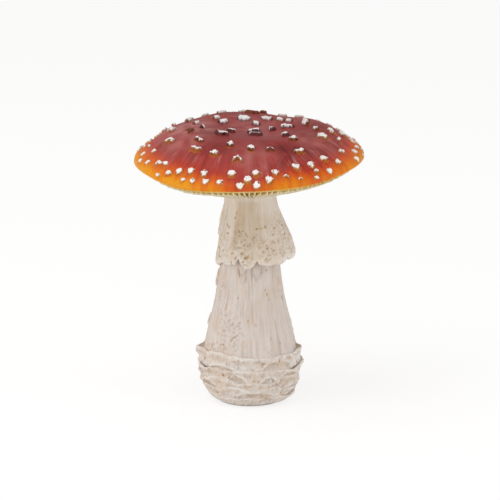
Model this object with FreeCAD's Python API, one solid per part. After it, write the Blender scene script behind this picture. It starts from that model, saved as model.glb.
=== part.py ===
# A toadstool ornament: a fly agaric about life size, slip-cast and cold painted.
# The hollow stem stands on a cork pad. Its bulb is clad in rows of upturned scales, a torn skirt hangs
# from its neck, and a spigot on top carries the cap: a gill plate, a domed shell and its white warts.
# The origin is where the stem's axis meets the table. Z is up, and the front is towards -Y.
import FreeCAD, Part
import math
import os

# Foot and stem
PAD_RADIUS = 18.5
PAD_THICKNESS = 2.0
FOOT_LIFT = 0.6
FOOT_RADIUS = 21.0
BULB_RADIUS = 30.8
BULB_HEIGHT = 33.0
NECK_RADIUS = 15.6
STEM_HEIGHT = 140.0
STEM_WALL = 4.5
PAD_CLEARANCE = 0.3
POUR_HOLE_RADIUS = 7.0
SPIGOT_RADIUS = 10.0
SPIGOT_HEIGHT = 7.5
SPIGOT_WALL = 3.0

# Cap: heights are measured from its widest circle
CAP_TILT_DEGREES = 1.5
CAP_RADIUS = 75.0
CAP_RISE = 22.5
CROWN_DIP = 2.6
CAP_WALL = 4.5
LIP_ROLL = 1.3
REBATE_DEPTH = 1.2
LEDGE_WIDTH = 5.0

# Gill plate
RIM_ABOVE_SEAT = 22.0
GILL_COUNT = 60
GILL_DEPTH = 3.4
GILL_THICKNESS = 0.9
GILL_ROOT = 0.8
PLATE_WALL = 3.6
COLLAR_WALL = 4.6
COLLAR_HEIGHT = 9.0
SPIGOT_CLEARANCE = 0.2
PLATE_CLEARANCE = 0.15
BOND_THICKNESS = 0.4

# Skirt of the veil
SKIRT_LAP = 1.0
SKIRT_DROP = 45.5
SKIRT_THICKNESS = 1.6
SKIRT_HEM_THICKNESS = 1.0
SKIRT_FLARE = 5.6
SKIRT_SIDE_FLARE = 3.8
SKIRT_RIPPLE = 0.7
SKIRT_RAG = 2.2
FLAP_BELOW_SKIRT_TOP = 10.0
FLAP_DROP = 19.0
FLAP_LEAN = 1.1
FLAP_THICKNESS = 1.1

# Scales of the bulb and shreds of the veil
SLIP_BED = 0.2
SCALE_THICKNESS = 1.3
SCALE_EDGE = 0.8
SHRED_THICKNESS = 0.8
SHRED_EDGE = 0.5

# Warts
WART_SIZE = 6.0
WART_THICKNESS = 2.2
MARGIN_WART_THICKNESS = 1.6
WART_BED = 0.05

OVERRUN = 5.0

# Shapes of the outlines, as shares of the sizes above
BULB_OUTLINE_SHARES = ((0.14, 0.36), (0.36, 0.80), (0.67, 1.0))
TAPER_OUTLINE_SHARES = (
    (0.0, 0.985), (0.09, 0.88), (0.21, 0.68), (0.355, 0.465), (0.52, 0.29), (0.745, 0.105))
CAVITY_LEVEL_SHARES = (0.15, 0.30, 0.63)
DIP_OUTLINE_SHARES = (0.2, 0.68)
CREST_SHARE = 0.44
FLANK_OUTLINE_SHARES = ((0.60, 0.91), (0.80, 0.62), (0.933, 0.30))
CEILING_SHARES = (0.76, 0.587, 0.44, 0.0)
GILL_BELLY_SHARES = ((0.55, 0.69), (0.83, 0.385), (0.975, 0.21))
SHORT_GILL_SHARES = (0.52, 0.62)

UP = FreeCAD.Vector(0, 0, 1)
ORIGIN = FreeCAD.Vector(0, 0, 0)


# Helpers: half sections are drawn with the radius along X and the height along Z
def at(radius, height):
    return FreeCAD.Vector(radius, 0, height)


def smooth(points, start=None, end=None):
    """A smooth curve through the points, leaving and arriving along the two tangents when given."""
    curve = Part.BSplineCurve()
    if start:
        curve.interpolate(Points=points, InitialTangent=start, FinalTangent=end)
    else:
        curve.interpolate(Points=points)
    return curve


def where(curve, axis, value):
    """The parameter at which a curve that only rises along an axis reaches a value."""
    low = curve.FirstParameter
    high = curve.LastParameter
    for _ in range(40):
        middle = (low + high) / 2
        if getattr(curve.value(middle), axis) < value:
            low = middle
        else:
            high = middle
    return low


def chain(points):
    """Straight edges from point to point."""
    return [Part.LineSegment(a, b).toShape() for a, b in zip(points, points[1:])]


def turned(edges):
    """The solid that a closed half section makes when it is turned about the Z axis."""
    face = Part.Face(Part.Wire(Part.__sortEdges__(edges)))
    solid = face.revolve(ORIGIN, UP, 360)
    if solid.Volume < 0:
        solid.reverse()
    return solid


def around(shape, degrees):
    """The shape turned about the Z axis, anticlockwise from above."""
    shape.rotate(ORIGIN, UP, degrees)
    return shape


def wobble(number, salt):
    """A fixed uneven number from -1 to 1, for pieces that were made by hand."""
    return math.sin(number * 12.9898 + salt * 78.233)


def on_cap(shape):
    """Moves a shape from the cap's own frame to its tilted place on top of the stem."""
    shape.translate(UP * RIM_ABOVE_SEAT)
    shape.rotate(ORIGIN, FreeCAD.Vector(0, 1, 0), -CAP_TILT_DEGREES)
    shape.translate(UP * STEM_HEIGHT)
    return shape


def save(name, solids):
    """Writes one node. The solids of a group stay separate."""
    shape = solids[0] if len(solids) == 1 else Part.makeCompound(solids)
    shape.exportStep(os.path.join("parts", name + ".step"))
    print(name, len(solids), "solids", round(sum(s.Volume for s in solids) / 1000, 2), "cm3",
          "valid" if shape.isValid() else "INVALID")


# Stem
def stem_outline():
    points = [at(FOOT_RADIUS, FOOT_LIFT)]
    for height, width in BULB_OUTLINE_SHARES:
        points.append(at(FOOT_RADIUS + width * (BULB_RADIUS - FOOT_RADIUS), height * BULB_HEIGHT))
    for height, width in TAPER_OUTLINE_SHARES:
        points.append(at(NECK_RADIUS + width * (BULB_RADIUS - NECK_RADIUS),
                         BULB_HEIGHT + height * (STEM_HEIGHT - BULB_HEIGHT)))
    points.append(at(NECK_RADIUS, STEM_HEIGHT))
    return smooth(points)


STEM_OUTLINE = stem_outline()


def stem_radius(height):
    return STEM_OUTLINE.value(where(STEM_OUTLINE, "z", height)).x


def make_stem():
    """A hollow casting with a pour hole in the foot, a recess for the pad and an open spigot on top."""
    body = turned([STEM_OUTLINE.toShape()] + chain([
        at(NECK_RADIUS, STEM_HEIGHT), at(0, STEM_HEIGHT), at(0, FOOT_LIFT), at(FOOT_RADIUS, FOOT_LIFT)]))
    shoulder = Part.makeCylinder(NECK_RADIUS + OVERRUN, OVERRUN, ORIGIN)
    shoulder.translate(UP * -RIM_ABOVE_SEAT)
    body = body.cut(on_cap(shoulder))
    spigot = Part.makeCylinder(SPIGOT_RADIUS, SPIGOT_HEIGHT + STEM_WALL, ORIGIN)
    spigot.translate(UP * -(RIM_ABOVE_SEAT + STEM_WALL))
    body = body.fuse(on_cap(spigot))
    recess_radius = PAD_RADIUS + PAD_CLEARANCE
    body = body.cut(Part.makeCylinder(recess_radius, PAD_THICKNESS, ORIGIN))
    floor = PAD_THICKNESS + STEM_WALL
    vent_radius = SPIGOT_RADIUS - SPIGOT_WALL
    levels = [floor + share * (STEM_HEIGHT - floor) for share in CAVITY_LEVEL_SHARES]
    inside = [at(POUR_HOLE_RADIUS, 0), at(POUR_HOLE_RADIUS, floor),
              at(stem_radius(floor) - STEM_WALL * 1.5, floor)]
    inside += [at(stem_radius(level) - STEM_WALL, level) for level in levels]
    inside += [at(NECK_RADIUS - STEM_WALL, STEM_HEIGHT - 2 * STEM_WALL),
               at(vent_radius, STEM_HEIGHT - STEM_WALL),
               at(vent_radius, STEM_HEIGHT + SPIGOT_HEIGHT + OVERRUN),
               at(0, STEM_HEIGHT + SPIGOT_HEIGHT + OVERRUN), at(0, 0), at(POUR_HOLE_RADIUS, 0)]
    return body.cut(turned(chain(inside)))


def make_pad():
    return Part.makeCylinder(PAD_RADIUS, PAD_THICKNESS, ORIGIN)


# Cap shell
def cap_outline():
    dip_radius, dip_depth = DIP_OUTLINE_SHARES
    points = [at(0, CAP_RISE - CROWN_DIP),
              at(dip_radius * CAP_RADIUS, CAP_RISE - dip_depth * CROWN_DIP),
              at(CREST_SHARE * CAP_RADIUS, CAP_RISE)]
    points += [at(reach * CAP_RADIUS, height * CAP_RISE) for reach, height in FLANK_OUTLINE_SHARES]
    points.append(at(CAP_RADIUS, 0))
    return smooth(points, at(1, 0), at(0, -1))


CAP_OUTLINE = cap_outline()


def cap_height(radius):
    return CAP_OUTLINE.value(where(CAP_OUTLINE, "x", radius)).z


def make_cap_shell():
    """The dome with its rolled margin, and underneath the rebate and ledge that take the gill plate."""
    lip_inner = CAP_RADIUS - 2 * LIP_ROLL
    roll = Part.Arc(at(CAP_RADIUS, 0), at(CAP_RADIUS - LIP_ROLL, -LIP_ROLL), at(lip_inner, 0))
    ceiling = [at(share * CAP_RADIUS, cap_height(share * CAP_RADIUS) - CAP_WALL) for share in CEILING_SHARES]
    inside = [at(lip_inner, 0), at(lip_inner, REBATE_DEPTH), at(lip_inner - LEDGE_WIDTH, REBATE_DEPTH)]
    return on_cap(turned([CAP_OUTLINE.toShape(), roll.toShape()]
                         + chain(inside + ceiling + [at(0, CAP_RISE - CROWN_DIP)])))


# Gill plate
PLATE_RADIUS = CAP_RADIUS - 2 * LIP_ROLL - PLATE_CLEARANCE
COLLAR_INNER = SPIGOT_RADIUS + SPIGOT_CLEARANCE
COLLAR_OUTER = COLLAR_INNER + COLLAR_WALL
COLLAR_BOTTOM = BOND_THICKNESS - RIM_ABOVE_SEAT


def belly_line():
    """The lower edge of a gill, from inside the collar's wall to just short of the margin."""
    points = [at(COLLAR_OUTER - COLLAR_WALL / 2, COLLAR_BOTTOM + GILL_ROOT)]
    points += [at(reach * PLATE_RADIUS, depth * COLLAR_BOTTOM) for reach, depth in GILL_BELLY_SHARES]
    points.append(at(PLATE_RADIUS - GILL_ROOT, -LIP_ROLL))
    return points


def root_line(raised):
    """The underside of the plate between the gills, raised a little where a gill is rooted in it."""
    belly = belly_line()
    inner = at(belly[0].x, belly[0].z + GILL_ROOT + raised)
    outer = at(belly[-1].x, belly[-1].z + GILL_ROOT + raised)
    return [inner] + [at(p.x, p.z + GILL_DEPTH + raised) for p in belly[1:-1]] + [outer]


def height_on(line, radius):
    """The height of a line of straight stretches at a radius."""
    for a, b in zip(line, line[1:]):
        if radius <= b.x:
            return a.z + (b.z - a.z) * (radius - a.x) / (b.x - a.x)
    return line[-1].z


def gill(points):
    blade = Part.Face(Part.makePolygon(points + [points[0]]))
    blade.translate(FreeCAD.Vector(0, -GILL_THICKNESS / 2, 0))
    return blade.extrude(FreeCAD.Vector(0, GILL_THICKNESS, 0))


def make_gill_plate():
    """A shallow cone with a socket collar. Long gills run from collar to margin, short ones start halfway."""
    under = root_line(0)
    ledge_inner = PLATE_RADIUS - LEDGE_WIDTH
    seat = REBATE_DEPTH - PLATE_CLEARANCE
    section = [at(COLLAR_INNER, COLLAR_BOTTOM), at(COLLAR_OUTER, COLLAR_BOTTOM),
               at(COLLAR_OUTER, height_on(under, COLLAR_OUTER))]
    section += under[1:] + [at(PLATE_RADIUS, under[-1].z), at(PLATE_RADIUS, seat), at(ledge_inner, seat)]
    section += [at(p.x, p.z + PLATE_WALL) for p in reversed(under[1:-1]) if p.x < ledge_inner]
    collar_top = COLLAR_BOTTOM + COLLAR_HEIGHT
    section += [at(COLLAR_OUTER, collar_top), at(COLLAR_INNER, collar_top)]
    plate = turned(chain(section + [section[0]]))
    belly = belly_line()
    root = root_line(GILL_ROOT)
    long_gill = gill(belly + list(reversed(root)))
    start, full = (share * PLATE_RADIUS for share in SHORT_GILL_SHARES)
    short_belly = [at(start, height_on(root, start)), at(full, height_on(belly, full))]
    short_belly += [p for p in belly if p.x > full]
    short_gill = gill(short_belly + [p for p in reversed(root) if p.x > start])
    step = 360 / GILL_COUNT
    gills = [around(long_gill.copy(), step * n) for n in range(GILL_COUNT)]
    gills += [around(short_gill.copy(), step * (n + 0.5)) for n in range(GILL_COUNT)]
    return on_cap(plate.multiFuse(gills))


def make_bond():
    """The ring of adhesive between the stem's shoulder and the collar."""
    ring = Part.makeCylinder(COLLAR_OUTER, BOND_THICKNESS, ORIGIN)
    ring = ring.cut(Part.makeCylinder(COLLAR_INNER, BOND_THICKNESS, ORIGIN))
    ring.translate(UP * -RIM_ABOVE_SEAT)
    return on_cap(ring)


# Pieces that hug the stem. An azimuth is measured from the front, growing to the right
def spoke(azimuth, radius, height):
    angle = math.radians(azimuth)
    return FreeCAD.Vector(radius * math.sin(angle), -radius * math.cos(angle), height)


def loop(azimuth, half_section):
    """A closed wire in the upright plane at an azimuth."""
    points = [spoke(azimuth, radius, height) for radius, height in half_section]
    return Part.makePolygon(points + [points[0]])


SCALE_STATION_SHARES = (-1, -0.86, -0.62, -0.32, 0, 0.32, 0.62, 0.86, 1)
SCALE_ARCH_SHARE = 0.62
SCALE_BELLY_SHARE = 0.55
SCALE_ROOT_SHARE = 0.4


def scale(carrier, azimuth, half_width, root, tip, lean, body, edge):
    """A thin tongue luted on at its root. Its free tip leans away from the surface that carries it."""
    sections = []
    for station in SCALE_STATION_SHARES:
        reach = 1 - SCALE_ARCH_SHARE * station * station
        turn = azimuth + station * half_width
        end = root + (tip - root) * reach
        middle = root + (tip - root) * reach * SCALE_BELLY_SHARE
        seat = carrier(turn, root) + SLIP_BED
        free = carrier(turn, end) + SLIP_BED + lean * reach
        waist = carrier(turn, middle) + SLIP_BED + lean * reach * SCALE_BELLY_SHARE ** 2
        sections.append(loop(turn, [(seat, root), (waist, middle), (free, end), (free + edge, end),
                                    (waist + body, middle), (seat + body * SCALE_ROOT_SHARE, root)]))
    solid = Part.makeLoft(sections, True, True)
    if solid.Volume < 0:
        solid.reverse()
    return solid


def bulb_surface(azimuth, height):
    return stem_radius(height)


# Rows of scales: root, tip and lean in shares of the bulb's height, radius and of a scale's lean
SCALE_LEAN = 2.0
SCALE_HEIGHT = 8.6
SCALE_LEAN_WOBBLE_SHARE = 0.25
SCALE_ROW_SHARES = (
    ("volva_foot_scales", 7, 12, 0.045, 0.80, 1.1),
    ("volva_lower_scales", 8, -18, 0.195, 0.98, 1.15),
    ("volva_middle_scales", 8, 6, 0.395, 0.98, 0.85),
    ("volva_upper_scales", 8, -15, 0.60, 0.98, 1.1),
    ("volva_collar_scales", 7, 14, 0.81, 1.08, 1.3),
)


def make_scale_rows():
    rows = {}
    for row, (name, count, first, root_share, height_share, lean_share) in enumerate(SCALE_ROW_SHARES):
        step = 360 / count
        solids = []
        for n in range(count):
            height = SCALE_HEIGHT * height_share * (1 + 0.06 * wobble(n, row))
            lean = SCALE_LEAN * lean_share * (1 + SCALE_LEAN_WOBBLE_SHARE * wobble(n, row + 7))
            root = root_share * BULB_HEIGHT
            solids.append(scale(bulb_surface, first + step * n, step * (0.455 + 0.02 * wobble(n, row + 3)),
                                root, root + height, lean, SCALE_THICKNESS, SCALE_EDGE))
        rows[name] = solids
    return rows


# Shreds of the veil left on the stem: azimuth, half width, top and bottom as shares of the stem, lean
SHRED_LEAN = 1.0
SHRED_SHARES = ((-15, 8, 0.650, 0.585, 0.8), (13, 11, 0.650, 0.580, 0.7), (-88, 7, 0.612, 0.545, 1.0),
                (-100, 6, 0.395, 0.350, 0.9), (128, 9, 0.640, 0.560, 0.9), (196, 8, 0.430, 0.375, 0.8))


def make_shreds():
    return [scale(bulb_surface, azimuth, half_width, top * STEM_HEIGHT, bottom * STEM_HEIGHT,
                  SHRED_LEAN * lean_share, SHRED_THICKNESS, SHRED_EDGE)
            for azimuth, half_width, top, bottom, lean_share in SHRED_SHARES]


# Skirt
SKIRT_TOP = STEM_HEIGHT + SKIRT_LAP
SKIRT_STATIONS = 60
SKIRT_LEVEL_SHARES = (0.0, 0.22, 0.5, 0.8, 1.0)
SKIRT_SWELL_SHARES = (0.0, 0.2, 0.7, 0.97, 1.0)
SIDE_AZIMUTH = 95


def skirt_hem(azimuth):
    """The height of the torn hem, with the tongue in front and a notch on each side of it."""
    angle = math.radians(azimuth)
    slope = 1.5 * math.cos(2 * angle) + math.sin(angle) - 0.6 * math.cos(angle)
    rag = slope - 0.6 * math.cos(12 * angle + 0.6) + 0.25 * math.sin(5 * angle)
    return SKIRT_TOP - SKIRT_DROP + SKIRT_RAG * rag


def skirt_swell(azimuth, share):
    """How far the skirt stands off the stem at a share of the way down."""
    angle = math.radians(azimuth - SIDE_AZIMUTH)
    flare = SKIRT_FLARE + SKIRT_SIDE_FLARE * math.cos(angle)
    ripple = SKIRT_RIPPLE * math.sin(math.radians(7 * azimuth + 40)) * share * share
    for low, high, a, b in zip(SKIRT_LEVEL_SHARES, SKIRT_LEVEL_SHARES[1:], SKIRT_SWELL_SHARES,
                               SKIRT_SWELL_SHARES[1:]):
        if share <= high:
            return flare * (a + (b - a) * (share - low) / (high - low)) + ripple
    return flare + ripple


def skirt_radius(azimuth, height):
    """The outer radius of the skirt, for what lies on it."""
    share = (SKIRT_TOP - height) / (SKIRT_TOP - skirt_hem(azimuth))
    thickness = SKIRT_THICKNESS + (SKIRT_HEM_THICKNESS - SKIRT_THICKNESS) * share
    return stem_radius(height) + SLIP_BED + skirt_swell(azimuth, share) + thickness


def make_skirt():
    """One closed loft round the stem through upright sections."""
    sections = []
    for n in range(SKIRT_STATIONS):
        azimuth = 360 / SKIRT_STATIONS * n
        hem = skirt_hem(azimuth)
        levels = [SKIRT_TOP - share * (SKIRT_TOP - hem) for share in SKIRT_LEVEL_SHARES]
        outer = [(skirt_radius(azimuth, level), level) for level in levels]
        inner = [(stem_radius(level) + SLIP_BED + skirt_swell(azimuth, share), level)
                 for share, level in zip(SKIRT_LEVEL_SHARES, levels)]
        sections.append(loop(azimuth, outer + list(reversed(inner))))
    solid = Part.makeLoft(sections, True, True, True)
    if solid.Volume < 0:
        solid.reverse()
    return solid


# The torn upper fold of the skirt: azimuth, half width, height and lean shares
FLAP_SHARES = ((-118, 30, 0.86, 0.8), (-72, 13, 1.0, 1.0), (168, 24, 0.74, 0.9))


def make_flaps():
    top = SKIRT_TOP - FLAP_BELOW_SKIRT_TOP
    return [scale(skirt_radius, azimuth, half_width, top, top - height_share * FLAP_DROP,
                  FLAP_LEAN * lean_share, FLAP_THICKNESS, FLAP_THICKNESS)
            for azimuth, half_width, height_share, lean_share in FLAP_SHARES]


# Warts: each kind is an outline in shares of the wart's length and width
WART_OUTLINE_SHARES = {
    "round": ((0.5, 0.05), (0.36, 0.38), (0.05, 0.5), (-0.3, 0.42), (-0.5, 0.08), (-0.42, -0.3), (-0.1, -0.5),
              (0.3, -0.4)),
    "jagged": ((0.5, -0.06), (0.34, 0.22), (0.12, 0.2), (0.06, 0.5), (-0.2, 0.46), (-0.26, 0.2), (-0.5, 0.14),
               (-0.42, -0.2), (-0.16, -0.22), (-0.06, -0.5), (0.22, -0.42), (0.26, -0.22)),
    "bar": ((0.5, 0.12), (0.3, 0.5), (0.02, 0.22), (-0.24, 0.42), (-0.5, 0.0), (-0.3, -0.34), (0.0, -0.2),
            (0.26, -0.5)),
    "hook": ((0.5, 0.5), (-0.36, 0.5), (-0.5, -0.5), (-0.26, -0.42), (-0.16, 0.0), (0.44, 0.06)),
    "fan": ((0.5, 0.3), (0.24, 0.38), (0.1, 0.5), (-0.1, 0.36), (-0.34, 0.46), (-0.5, 0.2), (-0.22, -0.4),
            (0.12, -0.5), (0.34, -0.2)),
    "brow": ((0.5, -0.5), (0.34, 0.1), (0.0, 0.5), (-0.36, 0.16), (-0.5, -0.46), (-0.3, -0.16), (0.0, 0.12),
             (0.28, -0.12)),
    "drop": ((0.5, 0.0), (0.1, 0.42), (-0.3, 0.5), (-0.5, 0.1), (-0.4, -0.4), (0.0, -0.38)),
}
WART_TOP_SHARE = 0.72

# Where the warts of the front sit: kind, azimuth, share of the cap's radius, length and width in shares
# of a wart's size, and how far the wart is turned in degrees
CROWN_WART_SHARES = (
    ("bar", 42, 0.075, 1.75, 0.8, 0), ("bar", 17, 0.22, 1.5, 0.6, -5),
    ("jagged", -45, 0.325, 2.1, 1.1, 0), ("bar", -61, 0.17, 1.1, 0.6, 8),
    ("drop", 93, 0.20, 0.6, 0.75, 50), ("fan", 156, 0.185, 0.75, 0.7, 0),
    ("fan", 54, 0.40, 0.9, 0.65, 0), ("bar", 98, 0.345, 1.4, 0.75, 60),
    ("round", -172, 0.285, 1.25, 1.2, 0), ("fan", -127, 0.28, 1.0, 0.9, 10),
    ("bar", -88, 0.40, 0.65, 0.35, 0),
)
INNER_WART_SHARES = (
    ("fan", 48, 0.525, 1.15, 0.85, 0), ("drop", -133, 0.39, 0.9, 0.75, 0),
    ("round", -153, 0.52, 1.05, 0.8, 0), ("drop", -104, 0.47, 0.9, 0.65, 0),
    ("brow", -77, 0.51, 1.25, 0.8, 0), ("jagged", -15.5, 0.57, 0.85, 0.75, 0),
    ("round", 2.5, 0.615, 0.85, 0.75, 0), ("brow", 17.5, 0.625, 0.85, 0.55, 0),
    ("bar", -49.5, 0.56, 1.35, 0.55, 0), ("fan", 102, 0.51, 0.95, 0.75, 10),
    ("jagged", 85, 0.59, 0.85, 0.55, -20), ("bar", 114, 0.55, 1.0, 0.6, 0),
    ("bar", 151, 0.345, 1.3, 0.8, 0), ("round", 122, 0.42, 0.75, 0.6, 0),
    ("bar", 134, 0.39, 1.0, 0.6, 0), ("jagged", 176, 0.50, 1.45, 0.95, 0),
    ("jagged", 167, 0.58, 0.7, 0.7, 0), ("bar", -121, 0.60, 0.8, 0.6, 0),
)
OUTER_WART_SHARES = (
    ("jagged", -24.5, 0.70, 1.1, 0.7, 0), ("bar", -41.5, 0.68, 1.4, 0.65, -6),
    ("brow", -7, 0.76, 1.15, 0.95, 0), ("bar", 38, 0.71, 1.1, 0.6, -20),
    ("fan", 71, 0.675, 1.2, 1.15, 0), ("bar", 87.5, 0.715, 1.5, 0.6, 25),
    ("round", 79, 0.79, 0.5, 0.45, 0), ("jagged", -95.5, 0.66, 1.0, 1.1, 0),
    ("hook", -71, 0.715, 1.2, 1.0, 0), ("bar", -117, 0.72, 0.6, 0.4, 0),
    ("round", -110, 0.775, 0.55, 0.55, 0), ("round", 94, 0.81, 0.85, 0.8, 0),
)
SHOULDER_WART_SHARES = (
    ("drop", -86, 0.855, 0.4, 0.5, 0), ("fan", -74, 0.845, 0.6, 0.6, 20),
    ("bar", -104, 0.88, 1.2, 0.5, 0), ("hook", -58.5, 0.91, 0.65, 0.75, 0),
    ("drop", -53.5, 0.885, 0.5, 0.65, 60), ("drop", -46.5, 0.95, 0.7, 0.55, 15),
    ("round", -41, 0.915, 0.65, 0.8, 0), ("fan", -34.5, 0.895, 0.75, 0.8, 0),
    ("jagged", -25.5, 0.895, 0.8, 0.85, 0), ("round", -9.5, 0.89, 0.85, 0.75, 0),
    ("drop", 4.5, 0.89, 0.9, 0.65, 15), ("fan", 15, 0.89, 0.8, 0.7, -15),
    ("brow", 20, 0.94, 0.7, 0.5, -10), ("round", 28.5, 0.86, 0.8, 0.9, 0),
    ("fan", 37.5, 0.88, 0.8, 0.9, -20), ("drop", 38, 0.94, 0.45, 0.55, 60),
    ("drop", 49, 0.86, 1.0, 0.75, -15), ("drop", 55.5, 0.93, 0.6, 0.75, -30),
    ("jagged", 67, 0.865, 0.8, 0.6, -20), ("fan", 77, 0.93, 0.6, 0.7, -20),
    ("bar", 86, 0.93, 0.7, 0.5, -20), ("bar", 94, 0.89, 1.0, 0.5, 30),
    ("fan", 10.5, 0.955, 0.9, 1.0, -30), ("round", -0.5, 0.945, 0.85, 0.9, 0),
)
MARGIN_WART_SHARES = (
    ("round", -96, 0.955, 0.5, 0.55, 0), ("drop", -95, 0.905, 0.4, 0.4, 0),
    ("fan", -81, 0.92, 0.6, 0.55, 20), ("round", -75, 0.96, 0.5, 0.5, 0),
    ("round", -67, 0.94, 0.5, 0.6, 0), ("drop", -52.5, 0.985, 0.4, 0.7, 60),
    ("fan", -36, 0.975, 0.6, 0.45, 0), ("jagged", -30, 0.97, 0.6, 0.75, 10),
    ("fan", -23, 0.97, 0.85, 0.7, 0), ("round", -15, 0.968, 0.8, 0.65, 0),
    ("fan", -4.5, 0.99, 0.9, 0.75, 0), ("round", 4, 0.988, 0.75, 0.85, 0),
    ("brow", 27, 0.975, 0.55, 0.5, 0), ("drop", 36, 0.985, 0.4, 0.5, 70),
    ("fan", 45.5, 0.97, 0.65, 0.8, -20), ("round", 70.5, 0.975, 0.5, 0.65, 0),
    ("drop", 83, 0.99, 0.6, 0.45, -10), ("bar", 88.5, 0.97, 0.55, 0.45, 0),
    ("bar", 99, 0.945, 0.9, 0.5, 0),
)

# The hidden half carries the same rings: node, ring as a share of the radius, first and last azimuth,
# how many, and their size as a share
BACK_RING_SHARES = (
    ("warts_outer_ring", 0.70, 140, 226, 7, 0.95),
    ("warts_shoulder_ring", 0.82, 108, 244, 12, 0.8),
    ("warts_shoulder_ring", 0.895, 104, 246, 14, 0.7),
    ("warts_margin_ring", 0.952, 108, 256, 16, 0.6),
)
BACK_TURN_DEGREES = 30
BACK_KINDS = ("round", "fan", "jagged", "drop", "bar", "round", "fan")


def wart(kind, azimuth, radius_share, length_share, width_share, turn, thickness):
    """A flat chip with sloping sides that lies on the cap, lifted just clear of any hollow beneath it."""
    seat_on = CAP_OUTLINE
    parameter = where(seat_on, "x", radius_share * CAP_RADIUS)
    seat = seat_on.value(parameter)
    along = seat_on.tangent(parameter)[0]
    angle = math.radians(azimuth)
    outward = FreeCAD.Vector(math.sin(angle), -math.cos(angle), 0)
    sideways = FreeCAD.Vector(math.cos(angle), math.sin(angle), 0)
    normal = outward * -along.z + UP * along.x
    upward = normal.cross(sideways)
    centre = outward * seat.x + UP * seat.z
    cosine = math.cos(math.radians(turn))
    sine = math.sin(math.radians(turn))
    flat = []
    for x_share, y_share in WART_OUTLINE_SHARES[kind]:
        x = x_share * length_share * WART_SIZE
        y = y_share * width_share * WART_SIZE
        flat.append(sideways * (x * cosine - y * sine) + upward * (x * sine + y * cosine))
    lift = 0
    for offset in flat:
        corner = centre + offset
        radius = math.hypot(corner.x, corner.y)
        if radius < CAP_RADIUS:
            lift = max(lift, (cap_height(radius) - corner.z) * normal.z)
    base = [centre + normal * (lift + WART_BED) + offset for offset in flat]
    top = [centre + normal * (lift + WART_BED + thickness) + offset * WART_TOP_SHARE for offset in flat]
    solid = Part.makeLoft([Part.makePolygon(base + [base[0]]), Part.makePolygon(top + [top[0]])], True, True)
    if solid.Volume < 0:
        solid.reverse()
    return on_cap(solid)


def make_warts():
    groups = {
        "warts_crown": [wart(*row, WART_THICKNESS) for row in CROWN_WART_SHARES],
        "warts_inner_ring": [wart(*row, WART_THICKNESS) for row in INNER_WART_SHARES],
        "warts_outer_ring": [wart(*row, WART_THICKNESS) for row in OUTER_WART_SHARES],
        "warts_shoulder_ring": [wart(*row, MARGIN_WART_THICKNESS) for row in SHOULDER_WART_SHARES],
        "warts_margin_ring": [wart(*row, MARGIN_WART_THICKNESS) for row in MARGIN_WART_SHARES],
    }
    for ring, (name, radius_share, first, last, count, size_share) in enumerate(BACK_RING_SHARES):
        for n in range(count):
            kind = BACK_KINDS[(n * 3 + ring) % len(BACK_KINDS)]
            azimuth = first + (last - first) * n / (count - 1) + 1.2 * wobble(n, ring)
            reach = radius_share + 0.008 * wobble(n, ring + 11)
            length_share = size_share * (1 + 0.15 * wobble(n, ring + 5))
            width_share = size_share * (0.85 + 0.15 * wobble(n, ring + 6))
            groups[name].append(wart(kind, azimuth, reach, length_share, width_share,
                                     BACK_TURN_DEGREES * wobble(n, ring + 9), MARGIN_WART_THICKNESS))
    return groups


def main():
    os.makedirs("parts", exist_ok=True)
    save("cork_foot_pad", [make_pad()])
    save("stem", [make_stem()])
    for name, solids in make_scale_rows().items():
        save(name, solids)
    save("veil_shreds", make_shreds())
    save("skirt", [make_skirt()])
    save("skirt_upper_fold", make_flaps())
    save("cap_bond", [make_bond()])
    save("gill_plate", [make_gill_plate()])
    save("cap_shell", [make_cap_shell()])
    for name, solids in make_warts().items():
        save(name, solids)


main()
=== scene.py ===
import math

import bmesh
import bpy
import numpy as np
from mathutils import Matrix, Vector
from mathutils.bvhtree import BVHTree


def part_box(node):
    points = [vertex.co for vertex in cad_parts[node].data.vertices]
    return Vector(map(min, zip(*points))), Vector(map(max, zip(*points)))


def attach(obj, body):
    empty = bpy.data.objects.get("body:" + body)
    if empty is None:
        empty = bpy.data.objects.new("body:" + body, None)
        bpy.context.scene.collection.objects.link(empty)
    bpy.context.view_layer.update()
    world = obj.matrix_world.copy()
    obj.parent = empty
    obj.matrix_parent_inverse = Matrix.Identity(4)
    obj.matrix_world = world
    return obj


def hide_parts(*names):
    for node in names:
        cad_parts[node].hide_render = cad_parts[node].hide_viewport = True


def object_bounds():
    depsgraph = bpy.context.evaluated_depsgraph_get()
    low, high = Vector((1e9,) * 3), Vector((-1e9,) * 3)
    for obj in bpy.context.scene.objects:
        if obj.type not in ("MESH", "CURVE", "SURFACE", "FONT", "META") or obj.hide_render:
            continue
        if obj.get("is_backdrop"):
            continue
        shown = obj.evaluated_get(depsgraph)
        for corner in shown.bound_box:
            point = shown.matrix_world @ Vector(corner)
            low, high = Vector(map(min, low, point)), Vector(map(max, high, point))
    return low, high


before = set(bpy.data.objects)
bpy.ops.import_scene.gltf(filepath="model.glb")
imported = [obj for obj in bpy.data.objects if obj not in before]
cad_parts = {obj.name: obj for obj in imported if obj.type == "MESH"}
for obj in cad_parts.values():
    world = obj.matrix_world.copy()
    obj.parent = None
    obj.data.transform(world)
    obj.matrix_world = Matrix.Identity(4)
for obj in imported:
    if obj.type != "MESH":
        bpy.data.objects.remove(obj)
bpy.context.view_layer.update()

MM = 0.001


# The view
# The ornament stands on a white sweep and is seen from a little above its cap, through a long lens,
# so that the sides of the stem run nearly parallel in the picture.
VIEW_WIDTH = 326 * MM
VIEW_DISTANCE = 6.0
VIEW_ELEVATION = math.radians(16)
VIEW_CENTRE = Vector((0, 0, 100.7 * MM))

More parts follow.
